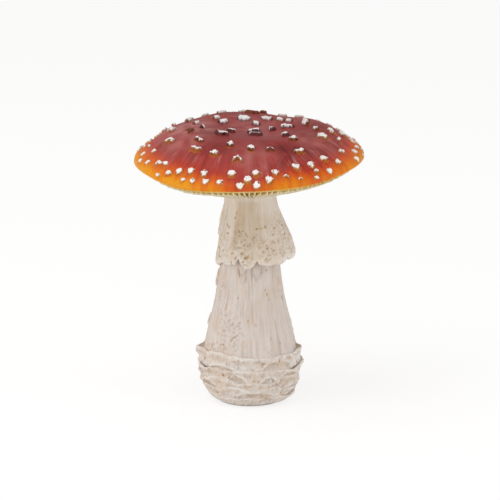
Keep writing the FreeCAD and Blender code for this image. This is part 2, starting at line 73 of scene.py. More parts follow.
camera = bpy.data.objects.new("camera", bpy.data.cameras.new("camera"))
bpy.context.scene.collection.objects.link(camera)
camera.data.sensor_width = 36
camera.data.lens = camera.data.sensor_width * VIEW_DISTANCE / VIEW_WIDTH
towards_camera = Vector((0, -math.cos(VIEW_ELEVATION), math.sin(VIEW_ELEVATION)))
camera.location = VIEW_CENTRE + towards_camera * VIEW_DISTANCE
camera.rotation_euler = towards_camera.to_track_quat("Z", "Y").to_euler()
bpy.context.scene.camera = camera
bpy.context.scene.view_settings.view_transform = "Standard"


def linear(colour):
    """An sRGB colour such as "C8441E" as linear red, green, blue and alpha."""
    channels = [int(colour[i:i + 2], 16) / 255 for i in (0, 2, 4)]
    return [c / 12.92 if c <= 0.04045 else ((c + 0.055) / 1.055) ** 2.4 for c in channels] + [1]


def add_node(tree, kind, links=None, stops=(), **settings):
    """Adds a node to a tree. A link is a value for an input, or the output that feeds it. Stops fill a
    ramp with colours or with shares of white."""
    node = tree.nodes.new(kind)
    for name, value in settings.items():
        setattr(node, name, value)
    for name, value in (links or {}).items():
        if isinstance(value, bpy.types.NodeSocket):
            tree.links.new(value, node.inputs[name])
        else:
            node.inputs[name].default_value = value
    for i, (place, colour) in enumerate(stops):
        ramp = node.color_ramp.elements
        stop = ramp[i] if i < 2 else ramp.new(place)
        stop.position = place
        stop.color = linear(colour) if isinstance(colour, str) else [colour] * 3 + [1]
    return node


def new_material(name):
    """An empty material and its node tree."""
    material = bpy.data.materials.new(name)
    material.use_nodes = True
    material.node_tree.nodes.clear()
    return material, material.node_tree


# Floor
# A round board painted matt white, that the ornament stands on. The camera sees it nearly white, with the
# soft shadow of the foot on it.
FLOOR_RADIUS = 2.6
BOARD_WHITE = "F4F3F1"
SHADOW_SHARE = 0.32
BOARD_GLOW = 1.12

board, tree = new_material("white_painted_board")
matt = add_node(tree, "ShaderNodeBsdfDiffuse", {"Color": linear(BOARD_WHITE)})
bright = add_node(tree, "ShaderNodeEmission", {"Color": (1, 1, 1, 1), "Strength": BOARD_GLOW})
path = add_node(tree, "ShaderNodeLightPath")
seen = add_node(tree, "ShaderNodeMath", {0: path.outputs["Is Camera Ray"], 1: path.outputs["Is Glossy Ray"]},
                operation="MAXIMUM")
share = add_node(tree, "ShaderNodeMath", {0: seen.outputs[0], 1: 1 - SHADOW_SHARE}, operation="MULTIPLY")
both = add_node(tree, "ShaderNodeMixShader", {0: share.outputs[0], 1: matt.outputs[0], 2: bright.outputs[0]})
add_node(tree, "ShaderNodeOutputMaterial", {"Surface": both.outputs[0]})

floor_mesh = bpy.data.meshes.new("floor")
ring = [(FLOOR_RADIUS * math.cos(turn), FLOOR_RADIUS * math.sin(turn), 0)
        for turn in np.linspace(0, math.tau, 96, False)]
floor_mesh.from_pydata(ring, [], [list(range(len(ring)))])
floor_mesh.materials.append(board)
floor = bpy.data.objects.new("floor", floor_mesh)
bpy.context.scene.collection.objects.link(floor)
floor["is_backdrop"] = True


# Light
# Soft studio light: a bright tent all round, one panel overhead, one low at each side and one low in front.
# The camera sees the tent as plain white.
TENT_STRENGTH = 0.54
# Name, place, width in metres and power in watts of each panel
PANELS = (
    ("overhead_panel", Vector((-0.45, -0.3, 1.3)), 1.1, 5.4),
    ("left_panel", Vector((-1.4, -0.7, 0.3)), 0.9, 7.6),
    ("right_panel", Vector((1.4, -0.6, 0.25)), 0.9, 7.4),
    ("front_panel", Vector((0.1, -1.6, 0.1)), 0.9, 2.4),
)

world = bpy.data.worlds.new("tent")
bpy.context.scene.world = world
world.use_nodes = True
tree = world.node_tree
tree.nodes.clear()
path = add_node(tree, "ShaderNodeLightPath")
lit = add_node(tree, "ShaderNodeMapRange", {"Value": path.outputs["Is Camera Ray"],
                                             "To Min": TENT_STRENGTH, "To Max": 1.0})
tent = add_node(tree, "ShaderNodeBackground", {"Color": (1, 1, 1, 1), "Strength": lit.outputs[0]})
add_node(tree, "ShaderNodeOutputWorld", {"Surface": tent.outputs[0]})
for name, place, size, power in PANELS:
    light = bpy.data.lights.new(name, "AREA")
    light.size = size
    light.energy = power
    panel = bpy.data.objects.new(name, light)
    panel.location = place
    panel.rotation_euler = (place - VIEW_CENTRE).to_track_quat("Z", "Y").to_euler()
    bpy.context.scene.collection.objects.link(panel)


# Cork foot pad
# A sanded disc of agglomerated cork, glued into a recess in the foot so that the ceramic can't scratch
# a table. Granules of 1 to 2 mm in two browns with dark seams between them.
CORK_GRANULE = 1.6 * MM

cork, tree = new_material("sanded_cork")
where = add_node(tree, "ShaderNodeTexCoord")
packing = {"Vector": where.outputs["Object"], "Scale": 1 / CORK_GRANULE}
granules = add_node(tree, "ShaderNodeTexVoronoi", packing)
seams = add_node(tree, "ShaderNodeTexVoronoi", packing, feature="DISTANCE_TO_EDGE")
browns = add_node(tree, "ShaderNodeValToRGB", {0: granules.outputs["Color"]},
                  stops=((0.0, "8A5E34"), (0.5, "B98450"), (1.0, "CFA06A")))
dark = add_node(tree, "ShaderNodeValToRGB", {0: seams.outputs["Distance"]}, stops=((0.0, 0.35), (0.12, 1.0)))
colour = add_node(tree, "ShaderNodeMix", {0: 1.0, 6: browns.outputs[0], 7: dark.outputs[0]},
                  data_type="RGBA", blend_type="MULTIPLY")
relief = add_node(tree, "ShaderNodeBump", {"Height": seams.outputs["Distance"], "Strength": 0.4,
                                           "Distance": 0.2 * MM})
surface = add_node(tree, "ShaderNodeBsdfPrincipled", {"Base Color": colour.outputs[2], "Roughness": 0.85,
                                                      "Normal": relief.outputs[0]})
add_node(tree, "ShaderNodeOutputMaterial", {"Surface": surface.outputs[0]})


def dress(node, material):
    """Gives a carried-over node, whose shape stays as it is, its material."""
    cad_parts[node].material_slots[0].material = material


dress("cork_foot_pad", cork)


# Stem
# Slip-cast in one piece with its bulb, hollow, and carved with long fibres while leather-hard. It is
# painted a pinkish beige, and a brown wash was wiped off so that it stays in the grooves and pits.
STEM_COLUMNS = 448
STEM_STEP = 0.64 * MM
BULB_STEP = 0.9 * MM
BULB_TOP = 31 * MM
FOOT_RECESS = 1.4 * MM
PAD_GAP = 0.3 * MM
# How deep the carving lies in the plain stem, and the radius at which its fibres are spaced
CARVED_IN = 0.35 * MM
FIBRE_GIRTH = 24 * MM


def lattice(cell, seed):
    """A fixed random number from 0 to 1 for each corner of a grid of cells."""
    # The large numbers are primes that scatter the bits well
    mixed = (cell[..., 0] * 374761393 + cell[..., 1] * 668265263 + cell[..., 2] * 2246822519
             + seed * 3266489917).astype(np.uint64) & np.uint64(0xFFFFFFFF)
    mixed = ((mixed ^ (mixed >> np.uint64(15))) * np.uint64(2246822519)) & np.uint64(0xFFFFFFFF)
    mixed = ((mixed ^ (mixed >> np.uint64(13))) * np.uint64(3266489917)) & np.uint64(0xFFFFFFFF)
    return (mixed ^ (mixed >> np.uint64(16))).astype(float) / 0xFFFFFFFF


def noise(points, spacing, seed):
    """Smooth noise from -1 to 1 whose lumps are a spacing apart."""
    scaled = points / spacing
    cell = np.floor(scaled).astype(np.int64)
    part = scaled - cell
    blend = part * part * part * (part * (part * 6 - 15) + 10)
    total = np.zeros(scaled.shape[:-1])
    for corner in np.ndindex(2, 2, 2):
        weight = np.prod(np.where(corner, blend, 1 - blend), axis=-1)
        total += weight * lattice(cell + np.array(corner), seed)
    return total * 2 - 1


def rough(points, spacing, seed, octaves=3):
    """Noise with finer noise on it, each octave half as wide and half as strong."""
    return sum(noise(points, spacing / 2 ** i, seed + i) / 2 ** i for i in range(octaves)) / 1.6


def ease(value, low, high):
    """0 below low, 1 above high and a smooth rise between."""
    share = np.clip((value - low) / (high - low), 0, 1)
    return share * share * (3 - 2 * share)


def turn_from(angle, azimuth):
    """The turn from an azimuth to each angle, by the shorter way round."""
    return np.mod(angle - azimuth + np.pi, math.tau) - np.pi


def placed(radius, angle, height):
    """Points by radius, azimuth and height. The front has azimuth 0, and the right side a quarter turn."""
    return np.stack([radius * np.sin(angle), -radius * np.cos(angle), height], axis=-1)


def make_piece(name, points, faces, material, slot, replaces, **attributes):
    """Makes a finished piece from points and faces. Each attribute is a number for every point."""
    mesh = bpy.data.meshes.new(name)
    mesh.from_pydata(points.tolist(), [], faces if isinstance(faces, list) else faces.tolist())
    mesh.materials.append(material)
    mesh.shade_smooth()
    for key, values in attributes.items():
        layer = mesh.attributes.new(key, "FLOAT", "POINT")
        layer.data.foreach_set("value", np.ascontiguousarray(values, float))
    mesh.update()
    finish_piece(name, mesh, replaces)


def finish_piece(name, mesh, replaces):
    """Puts a mesh in the scene on the ornament's one body, in place of the nodes that it stands for."""
    piece = bpy.data.objects.new(name, mesh)
    bpy.context.scene.collection.objects.link(piece)
    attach(piece, "root")
    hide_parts(*replaces)


def grid_quads(rows, columns, closed=True):
    """Quads of a grid of points, numbered row by row. A closed grid joins its last column to its first."""
    steps = columns if closed else columns - 1
    row, column = np.meshgrid(np.arange(rows - 1), np.arange(steps), indexing="ij")
    after = (column + 1) % columns
    return np.stack([row * columns + column, row * columns + after,
                     (row + 1) * columns + after, (row + 1) * columns + column], axis=-1).reshape(-1, 4)


def close_ends(points, faces, rows, columns):
    """Adds a pole amid the first row and one amid the last, so that a turned shape is closed."""
    grid = points.reshape(rows, columns, 3)
    first, last = len(points), len(points) + 1
    points = np.vstack([points, grid[0].mean(axis=0), grid[-1].mean(axis=0)])
    top = (rows - 1) * columns
    fans = [[(i + 1) % columns, i, first] for i in range(columns)]
    fans += [[top + i, top + (i + 1) % columns, last] for i in range(columns)]
    return points, faces.tolist() + fans


def solid_skin(node, moved=np.asarray):
    """The surface of a carried-over node, moved to another frame if need be, for finding where it lies."""
    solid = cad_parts[node].data
    corners = moved(np.array([vertex.co[:] for vertex in solid.vertices]))
    return BVHTree.FromPolygons(corners.tolist(), [polygon.vertices[:] for polygon in solid.polygons])


def smoothed(values, count, **ends):
    """The values of an outline, each averaged over a count of neighbours so that facets don't show."""
    window = np.hanning(count) / np.hanning(count).sum()
    return np.convolve(np.pad(values, count // 2, **ends), window, "valid")


def stem_outline():
    """The heights and radii of the carried-over stem from its foot to its shoulder."""
    skin = solid_skin("stem")
    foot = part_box("stem")[0].z + 0.02 * MM
    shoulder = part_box("cap_bond")[0].z - 0.1 * MM
    heights = np.linspace(foot, shoulder, 700)
    radii = []
    for height in heights:
        hit = skin.ray_cast(Vector((0, -1, height)), Vector((0, 1, 0)))[0]
        radii.append(math.hypot(hit.x, hit.y))
    return heights, smoothed(radii, 31, mode="reflect", reflect_type="odd")


STEM_HEIGHTS, STEM_RADII = stem_outline()


def stem_radius(height):
    """The radius of the plain stem at each height."""
    return np.interp(height, STEM_HEIGHTS, STEM_RADII)


def girth_points(angle, height, stretch, girth=FIBRE_GIRTH):
    """Places for a pattern that runs up a round piece: even round it, and stretched along its height."""
    return placed(girth, angle, height * stretch)


# Torn tongues of fibre on the stem: azimuth in degrees, height of the tip, length and half width
STEM_TONGUES = (
    (6, 53.5 * MM, 7 * MM, 2.3 * MM), (-8, 66 * MM, 9 * MM, 1.6 * MM), (-48, 63 * MM, 9 * MM, 1.5 * MM),
    (40, 62 * MM, 10 * MM, 2.0 * MM), (64, 77 * MM, 8 * MM, 1.8 * MM), (118, 70 * MM, 10 * MM, 2.2 * MM),
    (150, 52 * MM, 10 * MM, 2.4 * MM), (-140, 60 * MM, 10 * MM, 2.2 * MM), (-112, 78 * MM, 9 * MM, 1.8 * MM),
    (180, 80 * MM, 9 * MM, 2.0 * MM), (95, 50 * MM, 9 * MM, 2.0 * MM),
)
# Spots where the wash stayed: azimuth in degrees, and height, half width and half length in millimetres
STEM_SPECKS = (
    (-22, 90.5, 0.7, 1.0), (33, 91.5, 1.1, 0.6), (23, 90.5, 1.2, 0.5), (-8, 86.5, 0.4, 2.2),
    (-43, 67, 0.5, 2.8), (-21, 74, 0.7, 0.8), (31, 76, 0.6, 1.5), (33, 72.5, 0.8, 0.8), (28, 79, 0.5, 1.0),
    (-3, 59.5, 0.7, 0.9), (-16, 58, 0.9, 0.8), (-26, 46.3, 1.0, 1.0), (-38, 43.2, 1.2, 0.5),
    (-42, 42.8, 1.0, 0.5), (-21, 49, 1.2, 0.6), (44, 43.5, 0.8, 0.9), (30, 47, 0.6, 1.1), (9, 57, 0.5, 1.5),
    (-83, 66, 0.5, 2.6), (70, 70, 0.6, 1.8), (100, 60, 0.8, 1.2), (125, 47, 1.0, 0.8), (150, 72, 0.5, 2.2),
    (172, 55, 0.9, 0.9), (-160, 44, 1.1, 0.7), (-132, 71, 0.6, 1.9), (-118, 50, 0.9, 0.9),
    (-150, 84, 0.6, 1.6),
)


def specks(angle, height, table):
    """How much wash there is in the spots of a table, each with an uneven edge."""
    total = np.zeros_like(height)
    ragged = 0.6 * noise(girth_points(angle, height, 1), 1.1 * MM, 17)
    for azimuth, level, half_width, half_length in table:
        across = turn_from(angle, math.radians(azimuth)) * stem_radius(level * MM) / MM
        away = np.hypot((across + ragged) / half_width, (height / MM - level + ragged) / half_length)
        total = np.maximum(total, 1 - ease(away, 0.2, 1.25))
    return total


def stem_relief(angle, height):
    """How far the carved surface stands off the plain stem, how much wash is on it, and how pale it is."""
    # Fibres of three widths that wander as they climb, on broad waves
    turned = angle + 0.04 * noise(girth_points(angle, height, 0.25), 9 * MM, 3)
    coarse = 1 - 2 * np.abs(noise(girth_points(turned, height, 0.06), 2.0 * MM, 11))
    middle = 1 - 2 * np.abs(noise(girth_points(turned, height, 0.09), 1.2 * MM, 12))
    fine = noise(girth_points(turned, height, 0.13), 0.75 * MM, 13)
    broad = rough(girth_points(angle, height, 0.35), 9 * MM, 14)
    # Patches where the fibres give way to pebbles: the largest low in front on the left, and all of the bulb
    in_front = np.exp(-(turn_from(angle, -0.25) / 0.35) ** 2 - ((height - 52 * MM) / (9 * MM)) ** 2)
    on_bulb = ease(-height, -50 * MM, -38 * MM)
    patch = ease(0.8 * noise(girth_points(angle, height, 0.5), 13 * MM, 15) + 0.5 * in_front
                 + 0.45 * on_bulb, 0.2, 0.6)
    pebble = 1 - 2.4 * np.abs(noise(girth_points(turned, height, 0.8), 1.15 * MM, 16))
    spots = specks(angle, height, STEM_SPECKS)
    offset = MM * (0.14 * coarse + 0.10 * middle + 0.05 * fine + 0.30 * broad + 0.30 * patch * pebble
                   - 0.25 * spots)
    # Torn tongues, which stand off most near their tips and are rimmed along their edges
    tongues = np.zeros_like(height)
    lips = np.zeros_like(height)
    for azimuth, tip, length, half_width in STEM_TONGUES:
        across = turn_from(angle, math.radians(azimuth)) * stem_radius(height)
        down = (tip + length - height) / length
        reach = half_width * np.sqrt(np.clip(1 - down, 0, 1))
        inside = ease(reach - np.abs(across), -0.35 * MM, 0.35 * MM) * (down > 0) * (down < 1.05)
        tongues = np.maximum(tongues, inside * ease(down, 0.1, 0.9))
        rim = np.exp(-((np.abs(across) - reach) / (0.4 * MM)) ** 2) * (down > 0.2) * (down < 1.12)
        lips = np.maximum(lips, rim * ease(down, 0.2, 0.8))
    offset = offset + MM * (0.35 * tongues + 0.2 * lips)
    wash = np.clip(0.75 * spots + 0.22 * patch * ease(-pebble, 0.1, 0.9), 0, 1)
    grain = 0.42 * coarse + 0.34 * middle + 0.22 * fine
    pale = 0.5 + 0.5 * np.clip(grain * (1 - 0.5 * patch) + 0.48 * patch * pebble + 0.5 * lips, -1, 1)
    return offset, wash, pale


bottom = STEM_HEIGHTS[0]
top = STEM_HEIGHTS[-1]
heights = np.concatenate([np.arange(bottom, BULB_TOP, BULB_STEP), np.arange(BULB_TOP, top, STEM_STEP), [top]])
angles = np.linspace(0, math.tau, STEM_COLUMNS, False)
angle, height = np.meshgrid(angles, heights)
offset, ochre, tone = stem_relief(angle, height)
fade = ease(height, bottom, bottom + 3 * MM) * (1 - ease(height, top - 2 * MM, top))
radius = stem_radius(height) + offset * fade - CARVED_IN * fade

# The flat ring that the foot stands on, and the wall and floor of the recess for the cork pad
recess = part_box("cork_foot_pad")[1].x + PAD_GAP
for ring_radius, ring_height in ((recess, bottom), (recess, bottom + FOOT_RECESS)):
    radius = np.vstack([np.full((1, STEM_COLUMNS), ring_radius), radius])
    height = np.vstack([np.full((1, STEM_COLUMNS), ring_height), height])
    angle = np.vstack([angles[None], angle])
    ochre = np.vstack([np.zeros((1, STEM_COLUMNS)), ochre])
    tone = np.vstack([np.full((1, STEM_COLUMNS), 0.5), tone])
points = placed(radius, angle, height).reshape(-1, 3)
points, faces = close_ends(points, grid_quads(len(height), STEM_COLUMNS), len(height), STEM_COLUMNS)


def wiped_ceramic(name, groove, body, ridge, wash, speck):
    """Cold-painted bisque: matte and slightly chalky. Paler where the raised fibres were wiped, darker and
    warmer in the grooves, with an ochre wash in the pits and a fine tooth from the brush."""
    material, tree = new_material(name)
    where = add_node(tree, "ShaderNodeTexCoord")
    tone = add_node(tree, "ShaderNodeAttribute", attribute_name="tone")
    ochre = add_node(tree, "ShaderNodeAttribute", attribute_name="ochre")
    blotch = add_node(tree, "ShaderNodeTexNoise", {"Vector": where.outputs["Object"], "Scale": 1 / (14 * MM),
                                                   "Detail": 4.0})
    mottle = add_node(tree, "ShaderNodeTexNoise", {"Vector": where.outputs["Object"], "Scale": 1 / (1.1 * MM),
                                                   "Detail": 3.0})
    shade = add_node(tree, "ShaderNodeMath", {0: mottle.outputs[0], 1: 0.36, 2: -0.18},
                     operation="MULTIPLY_ADD")
    level = add_node(tree, "ShaderNodeMath", {0: tone.outputs["Fac"], 1: shade.outputs[0]}, operation="ADD")
    paint = add_node(tree, "ShaderNodeValToRGB", {0: level.outputs[0]},
                     stops=((0.08, groove), (0.5, body), (0.92, ridge)))
    stain = add_node(tree, "ShaderNodeMapRange", {"Value": blotch.outputs[0], "From Min": 0.46,
                                                  "From Max": 0.72, "To Max": 0.42})
    warm = add_node(tree, "ShaderNodeMix", {0: stain.outputs[0], 6: paint.outputs[0], 7: linear(speck)},
                    data_type="RGBA")
    colour = add_node(tree, "ShaderNodeMix", {0: ochre.outputs["Fac"], 6: warm.outputs[2], 7: linear(wash)},
                      data_type="RGBA")
    tooth = add_node(tree, "ShaderNodeTexNoise", {"Vector": where.outputs["Object"], "Scale": 1 / (0.35 * MM),
                                                  "Detail": 2.0})
    bump = add_node(tree, "ShaderNodeBump", {"Height": tooth.outputs[0], "Strength": 0.5,
                                             "Distance": 0.16 * MM})
    surface = add_node(tree, "ShaderNodeBsdfPrincipled", {
        "Base Color": colour.outputs[2], "Roughness": 0.72, "IOR": 1.45, "Specular IOR Level": 0.35,
        "Normal": bump.outputs[0]})
    add_node(tree, "ShaderNodeOutputMaterial", {"Surface": surface.outputs[0]})
    return material


stem_paint = wiped_ceramic("wiped_beige_bisque", "C0AEA1", "D5C8BF", "E2D9D2", "A87C3C", "D4BAA0")
ends = np.zeros(2)
make_piece("stem_casting", points, faces, stem_paint, "stem_ceramic", ["stem"],
           ochre=np.concatenate([ochre.ravel(), ends]), tone=np.concatenate([tone.ravel(), ends + 0.5]))


# Scales of the bulb
# Five torn cuffs of slip, one above another, luted round the bulb before firing. Each is rooted at its lower
# edge and its lip stands off in rounded scallops. The wash is the stem's, over a paler beige.
BULB_GIRTH = 31 * MM
CUFF_COLUMNS = 540
CUFF_ROWS = 36
LIP_ROWS = 8
BACK_ROWS = 7
CUFF_LIP = 1.6 * MM
CUFF_SINK = 0.9 * MM
CUFF_START = 3.5 * MM
# The rows from the foot up: how high the lip stays between two scallops, as a share of the row's height,
# how far it stands off the bulb in front in millimetres, and how much of the scales' lean it has at the sides
BULB_CUFFS = (("foot", 0.86, 1.6, 1.0), ("lower", 0.70, 1.3, 0.7), ("middle", 0.66, 1.3, 0.7),
              ("upper", 0.74, 1.2, 0.8), ("collar", 0.9, 0.45, 0.22))
# Raised arches on the cuffs: azimuth in degrees, and height of the top, half width and drop in millimetres
BULB_ARCHES = (
    (-16, 24.4, 7.4, 9.0), (23, 23.0, 7.0, 8.5), (54, 24.4, 11.0, 11.0), (56, 21.0, 8.0, 8.0),
    (-62, 18.0, 9.0, 6.0), (-80, 25.0, 8.0, 9.0), (-38, 30.0, 12.0, 7.0), (6, 12.5, 13.0, 5.0),
    (36, 33.0, 12.0, 6.0), (85, 26.0, 7.5, 8.0), (118, 22.5, 9.0, 9.0), (150, 25.0, 7.0, 8.0),
    (178, 21.5, 8.5, 9.0), (-150, 24.5, 7.0, 8.0), (-118, 21.5, 8.5, 9.0),
)
# Spots where the wash stayed on the bulb, in the same units as those of the stem
BULB_SPECKS = (
    (15, 30.8, 0.8, 1.2), (17, 32.2, 1.2, 0.6), (43, 35.8, 0.7, 1.2), (50, 34, 1.1, 0.8),
    (57, 32.5, 0.9, 0.9), (63, 34.6, 0.8, 0.9), (68, 33.4, 0.7, 0.8), (38, 32.6, 0.8, 1.0),
    (45, 11.6, 1.2, 1.0), (44, 9.8, 0.9, 1.0), (-47, 9.6, 0.8, 0.8), (-20, 8.4, 1.0, 0.9),
    (6, 7.4, 0.9, 0.5), (21, 7.6, 1.5, 0.6), (18, 8.6, 0.9, 0.5), (5, 20.6, 0.9, 0.7), (9, 19.4, 0.8, 0.5),
    (-34, 23.4, 1.4, 0.9), (-26, 22.0, 1.0, 1.1), (-28, 37.5, 1.3, 1.0), (72, 27.4, 1.2, 1.0),
    (-68, 30.5, 1.6, 0.8), (90, 12, 1.4, 0.8), (120, 31, 1.0, 1.0), (142, 14, 1.2, 0.8),
    (170, 30, 1.2, 0.9), (-165, 12, 1.3, 0.8), (-140, 31, 1.0, 1.1), (-112, 16, 1.2, 0.9),
    (-95, 9, 1.2, 0.6),
)
# Where the cuffs stand out further: azimuth in degrees, height and amount in millimetres, half angle in
# degrees and half height in millimetres
BULB_SWELLS = (
    (-91, 33.5, 3.6, 9, 4.0), (84, 36.0, 2.8, 9, 6.0), (176, 34.0, 2.0, 12, 4.0), (88, 25.5, 1.6, 22, 3.6),
    (-90, 26.0, 1.3, 20, 4.5), (84, 14.2, 2.4, 22, 2.4), (-88, 14.4, 2.0, 20, 2.0),
    (-92, 21.0, 0.8, 14, 2.0), (70, 4.0, 2.0, 45, 3.5), (150, 20.0, 1.4, 20, 3.0),
    (-140, 26.0, 1.4, 18, 3.0), (-60, 4.0, 0.8, 40, 3.0), (120, 30.0, 1.2, 16, 3.0),
)


def tube_quads(rows, columns):
    """Quads of a closed grid whose last row is joined to its first."""
    join = grid_quads(2, columns)
    join = np.where(join >= columns, join - columns, join + (rows - 1) * columns)
    return np.vstack([grid_quads(rows, columns), join])


def islands(node):
    """The separate solids of a carried-over node, each as its corners and its triangles."""
    whole = bmesh.new()
    whole.from_mesh(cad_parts[node].data)
    bmesh.ops.remove_doubles(whole, verts=whole.verts, dist=0.002 * MM)
    whole.verts.ensure_lookup_table()
    seen = set()
    groups = []
    for start in whole.verts:
        if start.index in seen:
            continue
        seen.add(start.index)
        group, queue = [], [start]
        while queue:
            vertex = queue.pop()
            group.append(vertex)
            for edge in vertex.link_edges:
                other = edge.other_vert(vertex)
                if other.index not in seen:
                    seen.add(other.index)
                    queue.append(other)
        index = {v.index: i for i, v in enumerate(group)}
        triangles = [[index[v.index] for v in f.verts] for f in whole.faces if f.verts[0].index in index]
        groups.append((np.array([v.co[:] for v in group]), triangles))
    whole.free()
    return groups


def spread_of(corners):
    """The azimuth of a carried-over scale's middle, and half of the angle that it spans."""
    azimuths = np.arctan2(corners[:, 0], -corners[:, 1])
    middle = math.atan2(np.sin(azimuths).mean(), np.cos(azimuths).mean())
    return middle, np.abs(turn_from(azimuths, middle)).max()


def arches(angle, height):
    """The raised rims of the arches and the hollows under them."""
    rims = np.zeros_like(height)
    hollows = np.zeros_like(height)
    ragged = 0.06 * noise(girth_points(angle, height, 1), 3 * MM, 34)
    for azimuth, top_level, half_width, drop in BULB_ARCHES:
        turn = turn_from(angle, math.radians(azimuth))
        across = turn * stem_radius(top_level * MM) / MM / half_width + ragged
        bend = top_level - drop * (1 - np.sqrt(np.clip(1 - across ** 2, 0, 1)))
        gap = height / MM - bend
        near = 1 - ease(np.abs(across), 0.86, 1.0)
        rims = np.maximum(rims, near * np.exp(-(gap / 0.75) ** 2))
        hollows = np.maximum(hollows, near * ease(-gap, 0.5, 1.8) * (1 - ease(-gap, 2.5, 7.0)))
    return rims, hollows


def swell(angle, height):
    """How far the bulb stands out beyond an even one."""
    total = np.zeros_like(height)
    for azimuth, level, amount, half_angle, half_height in BULB_SWELLS:
        turn = np.degrees(turn_from(angle, math.radians(azimuth)))
        above = height / MM - level
        total = total + amount * MM * np.exp(-(turn / half_angle) ** 2 - (above / half_height) ** 2)
    return total


def cuff(name, node, seed, valley, flush, flare):
    """Makes one ring of slip round the bulb. Its scalloped lip stands in the space of a node's scales."""
    # Each scale raises the edge to a scallop, and its lean says how far the lip stands off the bulb
    angle = np.linspace(0, math.tau, CUFF_COLUMNS, False)
    crest = np.zeros(CUFF_COLUMNS)
    stand = np.zeros(CUFF_COLUMNS)
    for number, (corners, _) in enumerate(islands(node)):
        middle, half_width = spread_of(corners)
        root, tip = corners[:, 2].min(), corners[:, 2].max()
        at_tip = corners[corners[:, 2] > tip - 0.2 * (tip - root)]
        arch = np.sqrt(np.clip(1 - np.abs(turn_from(angle, middle) / half_width) ** 2.2, 0, 1))
        tall = 0.82 + 0.18 * math.sin(5.1 * number + seed)
        crest = np.maximum(crest, root + (tip - root) * (valley + (1 - valley) * arch) * tall)
        lean = np.hypot(at_tip[:, 0], at_tip[:, 1]).max() - stem_radius(tip)
        stand = np.maximum(stand, lean * (0.62 + 0.38 * arch) * (0.8 + 0.2 * math.sin(3.7 * number + seed)))
    around = girth_points(angle, 0 * angle + seed * MM, 1, BULB_GIRTH)
    crest = crest + MM * (1.5 * noise(around, 13 * MM, seed + 2) + 0.6 * noise(around, 3.6 * MM, seed)
                          + 0.25 * noise(around, 1.5 * MM, seed + 1))
    wander = 0.35 * noise(girth_points(angle, 0 * angle, 1, BULB_GIRTH), 14 * MM, 30)
    side_on = flare * np.clip(ease(np.abs(np.sin(angle)), 0.55, 0.98) + wander, 0, 1)
    stand = flush + (stand - flush) * side_on
    # The outside, from below the bulb's skin up to the edge, pebbled and lumpy, with the arches on it
    share = np.linspace(0, 1, CUFF_ROWS)[:, None]
    start = max(root - CUFF_START, bottom)
    height = start + (crest - start) * share
    turned = np.repeat(angle[None], CUFF_ROWS, axis=0)
    hug = stem_radius(np.maximum(height, bottom))
    shell = (hug - CUFF_SINK + (CUFF_SINK + 0.4 * MM) * ease(share, 0, 0.3)
             + (stand - 0.4 * MM) * share ** 1.5)
    shell = shell + swell(turned, height)
    pebble = 1 - 2.4 * np.abs(noise(girth_points(turned, height, 1, BULB_GIRTH), 1.5 * MM, 31))
    lumps = rough(girth_points(turned, height, 0.9, BULB_GIRTH), 4.4 * MM, 32)
    fine = noise(girth_points(turned, height, 1, BULB_GIRTH), 0.8 * MM, 35)
    rims, hollows = arches(turned, height)
    spots = specks(turned, height, BULB_SPECKS)
    fade = ease(share, 0.0, 0.2)
    outer = shell + MM * fade * (0.27 * pebble + 0.70 * lumps + 0.08 * fine + 0.45 * rims - 0.3 * hollows
                                 - 0.2 * spots)
    # Paint: a painted highlight on the arch rims and at the top of the lip, painted shade in the hollows
    # under the arches, and painted light that makes the right side and the foot paler, with wash in the
    # hollows and along the lowest edge
    pale = 0.5 + 0.5 * np.clip(0.45 * pebble + 0.3 * lumps + 0.8 * rims - 0.4 * hollows
                               + 0.6 * ease(share, 0.85, 1), -1, 1)
    azimuth = np.degrees(turn_from(turned, 0))
    # Painted light: the right side and the foot are painted paler
    foot_light = 1 - ease(height, 8 * MM, 16 * MM)
    pale = pale + 0.3 * ease(azimuth, 30, 65) * (1 - ease(azimuth, 110, 150)) + 0.22 * foot_light - 0.1
    edge_stain = (1 - ease(height - bottom, 0.4 * MM, 1.5 * MM)) * ease(np.abs(azimuth), 25, 45)
    wash = np.clip(0.8 * spots + 0.18 * hollows + 0.16 * ease(-lumps, 0.3, 0.7) + 0.7 * edge_stain
                   + 0.14 * ease(share, 0.55, 0.75) * (1 - ease(share, 0.8, 0.92)), 0, 1)
    # The lip, rolled over, and the way back down into the bulb
    centre = outer[-1] - CUFF_LIP / 2
    roll = np.linspace(0, math.pi, LIP_ROWS)[1:, None]
    lip_radius = centre + CUFF_LIP / 2 * np.cos(roll)
    lip_height = crest + CUFF_LIP / 2 * np.sin(roll)
    back = np.linspace(0, 1, BACK_ROWS)[1:, None]
    back_height = crest - (0.4 * MM + 2.0 * MM * side_on) * back ** 1.4
    back_radius = lip_radius[-1] + (stem_radius(back_height) - CUFF_SINK - lip_radius[-1]) * back
    radius = np.vstack([outer, lip_radius, back_radius])
    height = np.vstack([height, lip_height, back_height])
    rows = len(radius)
    points = placed(radius, np.repeat(angle[None], rows, axis=0), height).reshape(-1, 3)
    beyond = np.ones((rows - CUFF_ROWS, CUFF_COLUMNS))
    beyond[:LIP_ROWS // 2] *= 1.3
    make_piece(name, points, tube_quads(rows, CUFF_COLUMNS), bulb_paint, "stem_ceramic", [node],
               tone=np.vstack([pale, 0.6 * beyond]).ravel(), ochre=np.vstack([wash, 0.12 * beyond]).ravel())


bulb_paint = wiped_ceramic("wiped_pale_bisque", "C7B8AD", "DCD2CA", "ECE6E1", "A87C3C", "E2CDB8")
for place, (row, valley, flush, flare) in enumerate(BULB_CUFFS):
    cuff(f"{row}_cuff", f"volva_{row}_scales", 100 + 40 * place, valley, flush * MM, flare)


# Veil shreds
# Slips of clay left hanging on the stem below the skirt, smoothed in at the top, with their points turned
# outward. They have the stem's paint, and their inner faces are darker and browner under their points as
# painted shade.
FLAP_COLUMNS = 61
FLAP_ROWS = 44


